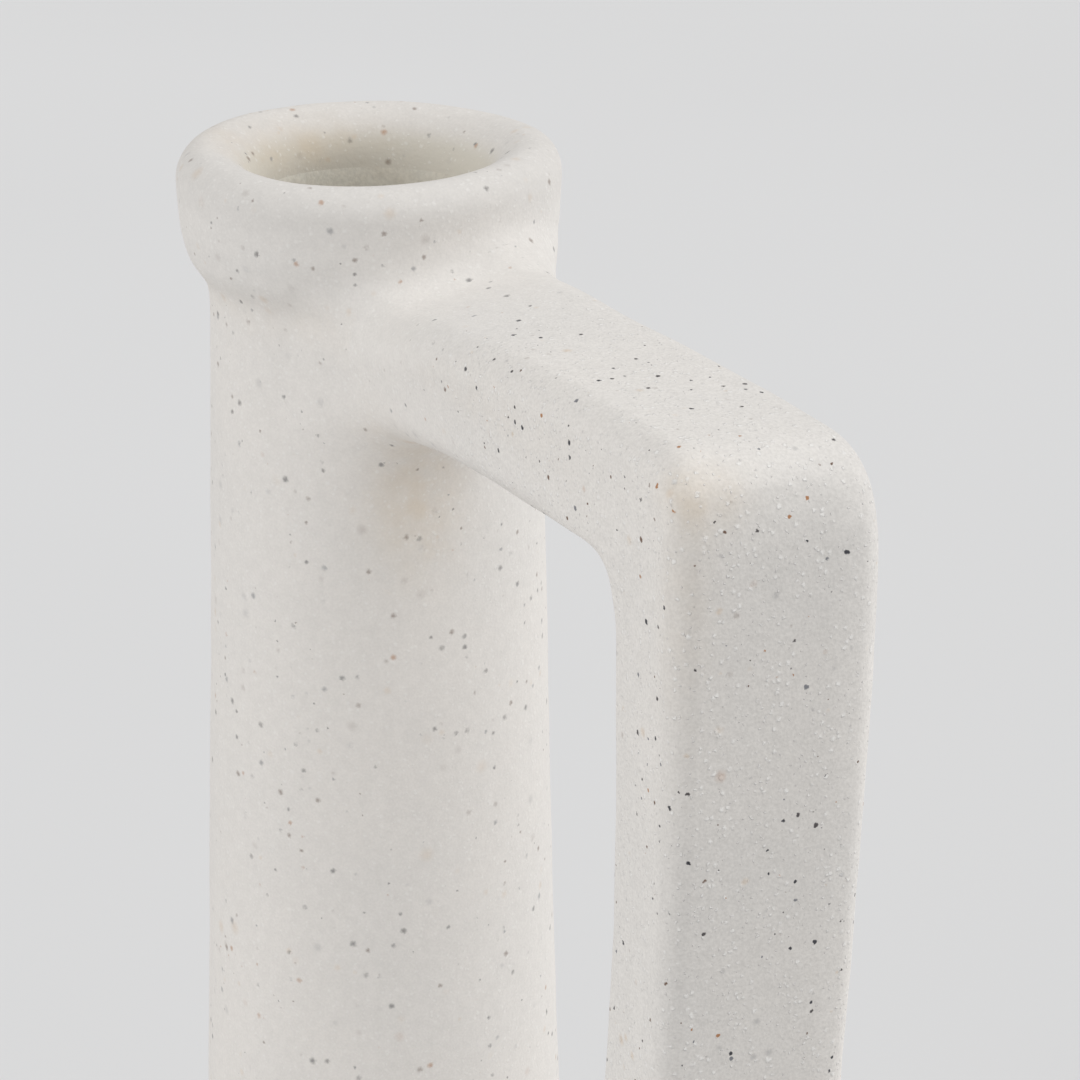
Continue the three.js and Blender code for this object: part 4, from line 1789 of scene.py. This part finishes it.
@dataclass
class Liner(ThrownPiece):
    """Glaze skin inside the vase, from its feathered edge in the mouth down to the floor."""

    slot: Slot = Slot.LINER_GLAZE
    node: str = "liner_glaze"
    columns: int = 160
    row_spacing: float = 0.8 * MM
    edge_depth: float = 5.2 * MM
    feather: float = 2.2 * MM
    proud: float = 0.07 * MM
    thickness: float = 0.6 * MM
    thick_share: float = 0.7
    thin_edge: float = 0.12 * MM
    thicken_over: float = 9 * MM
    belly_low: float = 12 * MM
    dome_short: int = 180
    floor_rise: float = 3.5 * MM
    floor_inset: float = 14 * MM
    softness: float = 0.6 * MM
    back_rows: int = 60
    fine: float = 0.2 * MM
    looped: bool = False
    ending: str = "_coat"

    def side(self) -> tuple[Array, Array, Array]:
        """Skin line, its normals and the hidden line behind it.

        Returns:
            The skin line, its normals and the hidden line, as (radius, height) rows.
        """
        vase, line = self.clay.vase, self.clay.line
        points, normals = line.points, line.normals
        lip = int(np.argmax(points[:, 1]))
        start = lip + int(np.argmax(points[lip:, 1] <= vase.top - self.edge_depth))
        risen = eased(np.arange(len(points) - start)[:, None] * line.spacing / self.feather)
        mouth = points[start:] + normals[start:] * (self.proud * (2 * risen - 1))
        crease, neck, widest = (line.index_at(h) for h in (vase.crease, vase.neck_foot, vase.widest))
        low = line.index_at(vase.floor_top + self.belly_low)
        wall = vase.body_wall + self.thickness
        inside = points - normals * wall
        dome, belly = inside[widest : neck - self.dome_short][::-1], inside[low:widest][::-1]
        foot = points[neck, 0] - vase.neck_wall - self.thickness
        bore = np.array([[mouth[-1, 0], vase.crease], [foot, vase.neck_foot]])
        floor_z = vase.floor_top + self.floor_rise
        floor = np.array([[vase.floor_radius - self.floor_inset, floor_z], [vase.axis_gap, floor_z]])
        whole = respaced(np.concatenate([mouth, bore, dome, belly, floor]), self.fine)
        even = Outline(softened(whole, self.softness, self.fine), self.fine)
        skin, facing = even.stretch(0, len(whole) - 1, self.row_spacing)
        run = np.linalg.norm(skin - skin[0], axis=1)
        depth = self.thickness * self.thick_share * eased(run / self.thicken_over) + self.thin_edge
        back = skin - facing * depth[:, None]
        pick = np.unique(np.linspace(0, len(skin) - 1, self.back_rows).round().astype(int))
        return skin[::-1], facing[::-1], back[pick]


# ---------------------------------------------------------------- the handle


@dataclass(frozen=True)
class Pressing:
    """How broadly clay is pressed into a corner: a width at each of a few heights, more on the far side."""

    heights: tuple[float, ...]
    widths: tuple[float, ...]
    far_extra: float = 0.0
    far_side: tuple[float, float] = (1 * MM, 9 * MM)
    far_rise: tuple[float, float] = (-2.0, -1.0)
    far_fade: tuple[float, float] = (1.0, 2.0)

    @classmethod
    def at_neck(cls, crease: float) -> "Pressing":
        """The clay pressed round the arm's root, broad under the arm and narrow over it.

        Args:
            crease: height of the crease under the collar.

        Returns:
            The pressing.
        """
        return cls(
            heights=tuple(crease + rise * MM for rise in (-12, -4, 1, 6.5)),
            widths=(9.0 * MM, 6.5 * MM, 6.2 * MM, 5.2 * MM),
            far_extra=5.5 * MM,
            far_rise=(crease - 6 * MM, crease + 2 * MM),
            far_fade=(crease + 5 * MM, crease + 10 * MM),
        )

    def width(self, points: Array) -> Array:
        """Width of the pressed clay at points.

        Args:
            points: where to measure.

        Returns:
            One width for each point.
        """
        total = np.full(points.shape[:-1], self.widths[0])
        for k in range(1, len(self.heights)):
            low, high = self.heights[k - 1], self.heights[k]
            total += (self.widths[k] - self.widths[k - 1]) * eased((points[..., 2] - low) / (high - low))
        far, above, high = (
            eased((points[..., axis] - low) / (high - low))
            for axis, (low, high) in ((1, self.far_side), (2, self.far_rise), (2, self.far_fade))
        )
        return total + self.far_extra * far * above * (1 - high)


@dataclass
class StrapHandle:
    """Pulled strap in two lengths that meet at the elbow, with clay pressed round both its ends."""

    clay: Clay
    material: bpy.types.Material
    ring_spacing: float = 0.8 * MM
    margin: float = 1.3 * MM
    rooted: float = 1.2 * MM
    foot_pressing: float = 8.5 * MM
    upper_bracket: float = 36 * MM
    lower_bracket: tuple[float, float] = (1 * MM, 60 * MM)
    halvings: int = 26
    settle_rounds: int = 10
    edge_power: int = 10
    fillet_rows: int = 28
    spread_rounds: int = 24
    longest_step: float = 2 * MM
    proud: float = 0.03 * MM
    feather: float = 0.05 * MM
    sunk: float = 0.3 * MM

    def runs_at(self, low: float, high: float, wanted: Field) -> Array:
        """Distances along the strap, one a column, where its surface stands off the vase.

        Args:
            low: a distance along the strap where every column is nearer the vase than wanted.
            high: one where every column is further away.
            wanted: gives the wanted distance from the vase's skin at points.

        Returns:
            One distance along the strap for each column.
        """
        columns = len(self.clay.strap.section())
        near, far = np.full(columns, low), np.full(columns, high)
        for _ in range(self.halvings):
            middle = (near + far) / 2
            points = self.clay.strap.point(middle[None])[0]
            short = self.clay.vase_distance(points) < wanted(points)
            near, far = np.where(short, middle, near), np.where(short, far, middle)
        return (near + far) / 2

    def ends(self) -> tuple[tuple[float, float], tuple[float, float]]:
        """Brackets along the strap for its joint with the neck and with the shoulder."""
        length = self.clay.strap.length
        return (0.0, self.upper_bracket), (length - self.lower_bracket[0], length - self.lower_bracket[1])

    def length(self, name: str, start: Array, end: Array) -> bpy.types.Object:
        """Makes one length of the strap.

        Args:
            name: CAD node it stands for.
            start: distance along the strap of its first ring, one a column.
            end: distance of its last ring.

        Returns:
            The new piece.
        """
        rows = int(np.abs(end - start).max() / self.ring_spacing)
        share = np.linspace(0, 1, rows + 1)[:, None]
        points, normals = self.clay.strap.surface(start[None] * (1 - share) + end[None] * share)
        stack = RingStack(name + "_clay", looped=False)
        stack.add(*self.clay.touch.press(points, normals))
        return stack.build(self.material, self.clay)

    def joined(self, strap_distance: Field, pressing: Pressing) -> Field:
        """Distance field of the vase and the strap with the clay drawn smoothly between them.

        Args:
            strap_distance: distance field of one end of the strap.
            pressing: how broadly the clay is pressed in.

        Returns:
            The joined field.
        """

        def distance(points: Array) -> Array:
            """Signed distance from the joined form.

            Args:
                points: where to measure.

            Returns:
                One distance for each point.
            """
            to_vase, to_strap = self.clay.vase_distance(points), strap_distance(points)
            width = pressing.width(points)
            near = np.maximum(width - np.abs(to_vase - to_strap), 0) / width
            smooth = np.minimum(to_vase, to_strap) - near**2 * width / 4
            return smooth - self.clay.unevenness(points)

        return distance

    def spread_out(self, corner: Array, outward: Array, strap_distance: Field, pressing: Pressing) -> Array:
        """Edge of the pressed clay on the vase, round the end of the strap.

        Args:
            corner: points where the strap meets the vase.
            outward: the strap's normals there.
            strap_distance: distance field of that end of the strap.
            pressing: how broadly the clay is pressed in.

        Returns:
            One point on the vase's skin for each corner point.
        """
        clay = self.clay

        def beyond(points: Array) -> Array:
            """Distance past the edge of the pressed clay."""
            return strap_distance(points) - pressing.width(points) - self.margin

        spread = corner + outward * pressing.width(corner)[:, None]
        for _ in range(self.spread_rounds):
            away = np.stack([clay.vase_distance(spread), beyond(spread)], axis=-1)
            slopes = np.stack([gradient(clay.vase_distance, spread), gradient(beyond, spread)], axis=1)
            gram = slopes @ slopes.transpose(0, 2, 1) + np.eye(2) * SMALL
            step = (slopes.transpose(0, 2, 1) @ np.linalg.solve(gram, away[..., None]))[..., 0]
            long = np.maximum(np.linalg.norm(step, axis=-1, keepdims=True) / self.longest_step, 1)
            spread = spread - step / long
            spread = (spread + 0.5 * (np.roll(spread, 1, 0) + np.roll(spread, -1, 0))) / 2
        return settled(clay.vase_distance, spread)

    def fillet(self, name: str, bracket: tuple[float, float], strap_distance: Field,
               pressing: Pressing) -> bpy.types.Object:
        """Makes the clay pressed round one end of the strap.

        Args:
            name: CAD node it stands for.
            bracket: distances along the strap, inside the vase and well clear of it.
            strap_distance: distance field of that end of the strap.
            pressing: how broadly the clay is pressed in.

        Returns:
            The new piece.
        """
        clay = self.clay

        def pressed(points: Array) -> Array:
            """Distance from the vase where the pressed clay ends on the strap."""
            return pressing.width(points) + self.margin

        top = clay.strap.point(self.runs_at(*bracket, pressed)[None])[0]
        root, root_normals = clay.strap.surface(self.runs_at(*bracket, level(0.0))[None])
        corner, corner_normals = root[0], root_normals[0]
        spread = self.spread_out(corner, corner_normals, strap_distance, pressing)
        half = np.linspace(0, 1, self.fillet_rows // 2 + 1)[:, None, None]
        guess = np.concatenate([top + (corner - top) * half, clay.over_skin(corner, spread, half[1:])])
        share = np.linspace(0, 1, len(guess))[:, None, None]
        form = self.joined(strap_distance, pressing)
        flat = settled(form, guess.reshape(-1, 3), self.settle_rounds)
        facing = unit(gradient(form, flat))
        skin, normals = flat.reshape(guess.shape), facing.reshape(guess.shape)
        edge = np.abs(2 * share - 1) ** self.edge_power
        skin = skin + normals * (self.proud - (self.proud + self.feather) * edge)
        vase_normals = unit(gradient(clay.vase_distance, corner))
        stack = RingStack(name + "_clay")
        stack.add(skin, normals)
        stack.add(np.stack([
            skin[-1] - normals[-1] * self.sunk,
            corner - (vase_normals + corner_normals) * self.sunk,
            skin[0] - normals[0] * self.sunk,
        ]))
        return stack.build(self.material, clay)

    def build(self) -> dict[str, bpy.types.Object]:
        """Makes the strap's four pieces, by the name of the CAD node that each one stands for.

        Returns:
            The new objects.
        """
        strap = self.clay.strap
        upper, lower = self.ends()
        vase = self.clay.vase
        mitre = np.full(len(strap.section()), strap.elbow)
        root, foot = (self.runs_at(*bracket, level(-self.rooted)) for bracket in (upper, lower))
        at_neck, at_shoulder = Pressing.at_neck(vase.crease), Pressing((0.0,), (self.foot_pressing,))
        return {
            "handle_arm": self.length("handle_arm", root, mitre),
            "handle_upright": self.length("handle_upright", mitre, foot),
            "upper_fillet": self.fillet("upper_fillet", upper, strap.arm_distance, at_neck),
            "lower_fillet": self.fillet("lower_fillet", lower, strap.upright_distance, at_shoulder),
        }


# ---------------------------------------------------------------- studio


@dataclass(frozen=True)
class SoftLight:
    """One broad light a long way off."""

    name: str
    towards: tuple[float, float, float]
    strength: float
    angle: float = math.radians(55)


@dataclass(frozen=True)
class Studio:
    """Plain pale floor under even, soft light."""

    floor_half: float = 4.0
    floor_tiles: int = 16
    drift_size: float = 900.0
    floor_colour: Colour = (0.730, 0.731, 0.734)
    sky: float = 0.408
    lights: tuple[SoftLight, ...] = (
        SoftLight("right_window", (0.376, 0.739, 0.559), 0.575),
        SoftLight("left_window", (0.029, -0.829, 0.559), 0.405),
    )

    def build(self) -> bpy.types.Object:
        """Makes the floor and the lights.

        Returns:
            The floor.
        """
        scene = bpy.context.scene
        scene.view_settings.view_transform = "Standard"
        scene.view_settings.look = "None"
        world = bpy.data.worlds.new("studio_air")
        world.use_nodes = True
        background = world.node_tree.nodes["Background"]
        background.inputs["Color"].default_value = (1.0, 1.0, 1.0, 1.0)
        background.inputs["Strength"].default_value = self.sky
        scene.world = world
        for light in self.lights:
            sun = bpy.data.lights.new(light.name, "SUN")
            sun.energy = light.strength * math.pi
            sun.angle = light.angle
            lamp = bpy.data.objects.new(light.name, sun)
            lamp.rotation_euler = Vector(light.towards).to_track_quat("Z", "Y").to_euler()
            scene.collection.objects.link(lamp)
        return self.floor()

    def floor(self) -> bpy.types.Object:
        """Makes the floor as a tiled sheet with a matte finish.

        Returns:
            The floor.
        """
        sheet = NodeSheet("matte_floor")
        drift = sheet.noise(self.drift_size, 2.0).outputs[0]
        sheet.finish(sheet.shaded(self.floor_colour, drift, 0.985, 1.01), 1.0, 0.0)
        across = np.linspace(-self.floor_half, self.floor_half, self.floor_tiles + 1)
        points = [(x, y, 0.0) for y in across for x in across]
        wide = self.floor_tiles + 1
        faces = [
            (j * wide + i, j * wide + i + 1, (j + 1) * wide + i + 1, (j + 1) * wide + i)
            for j in range(self.floor_tiles)
            for i in range(self.floor_tiles)
        ]
        mesh = bpy.data.meshes.new("studio_floor")
        mesh.from_pydata(points, [], faces)
        mesh.materials.append(sheet.material)
        floor = bpy.data.objects.new("studio_floor", mesh)
        bpy.context.scene.collection.objects.link(floor)
        return floor


@dataclass(frozen=True)
class Viewpoint:
    """Where the vase is looked at from: a close view down on the collar and the arm."""

    azimuth: float = math.radians(62.0)
    elevation: float = math.radians(21.07)
    roll: float = math.radians(0.604)
    distance: float = 292.752 * MM
    lens: float = 90.132
    sensor: float = 36.0
    side_offset: float = -0.061867
    rise_offset: float = 0.150339

    def build(self, target: Vector) -> bpy.types.Object:
        """Makes the camera.

        Args:
            target: middle of the collar's top.

        Returns:
            The camera, set as the scene's.
        """
        a, e, r = self.azimuth, self.elevation, self.roll
        back = Vector((math.sin(a) * math.cos(e), -math.cos(a) * math.cos(e), math.sin(e)))
        right = Vector((math.cos(a), math.sin(a), 0.0))
        up = back.cross(right)
        across = right * math.cos(r) + up * math.sin(r)
        upward = up * math.cos(r) - right * math.sin(r)
        place = target + (back - across * self.side_offset - upward * self.rise_offset) * self.distance
        lens = bpy.data.cameras.new("viewpoint")
        lens.lens = self.lens
        lens.sensor_width = self.sensor
        lens.clip_start = 10 * MM
        lens.clip_end = 50.0
        camera = bpy.data.objects.new("viewpoint", lens)
        axes = Matrix((across, upward, back)).transposed().to_4x4()
        camera.matrix_world = Matrix.Translation(place) @ axes
        bpy.context.scene.collection.objects.link(camera)
        bpy.context.scene.camera = camera
        return camera


# ---------------------------------------------------------------- putting it together


def settle_piece(piece: bpy.types.Object, node: str, slot: Slot) -> None:
    """Ties a finished piece to the frame and reports it.

    Args:
        piece: the new piece.
        node: CAD node it stands for.
        slot: not used.
    """
    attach(piece, "root")
    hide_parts(node)
    LOG.info("%s: %d faces for %s", piece.name, len(piece.data.polygons), node)


def main() -> None:
    """Builds the vase around its frame, then the studio and the camera."""
    logging.basicConfig(level=logging.INFO, format="%(name)s: %(message)s")
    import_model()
    vase = VaseShape.from_frame()
    Viewpoint().build(Vector((0.0, 0.0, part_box("collar")[1].z)))
    Studio().build()
    clay = Clay(vase, HandTouch())
    stoneware, bare, glaze = Stoneware().build(), BareClay().build(), LinerGlaze().build()
    for thrown in (
        FootRing(clay, bare), BaseSlab(clay, bare), Body(clay, stoneware), Shoulder(clay, stoneware),
        Neck(clay, stoneware), Collar(clay, stoneware), Liner(clay, glaze),
    ):
        settle_piece(thrown.build(), thrown.node, thrown.slot)
    for node, piece in StrapHandle(clay, stoneware).build().items():
        settle_piece(piece, node, Slot.STONEWARE)


if __name__ == "__main__":
    main()
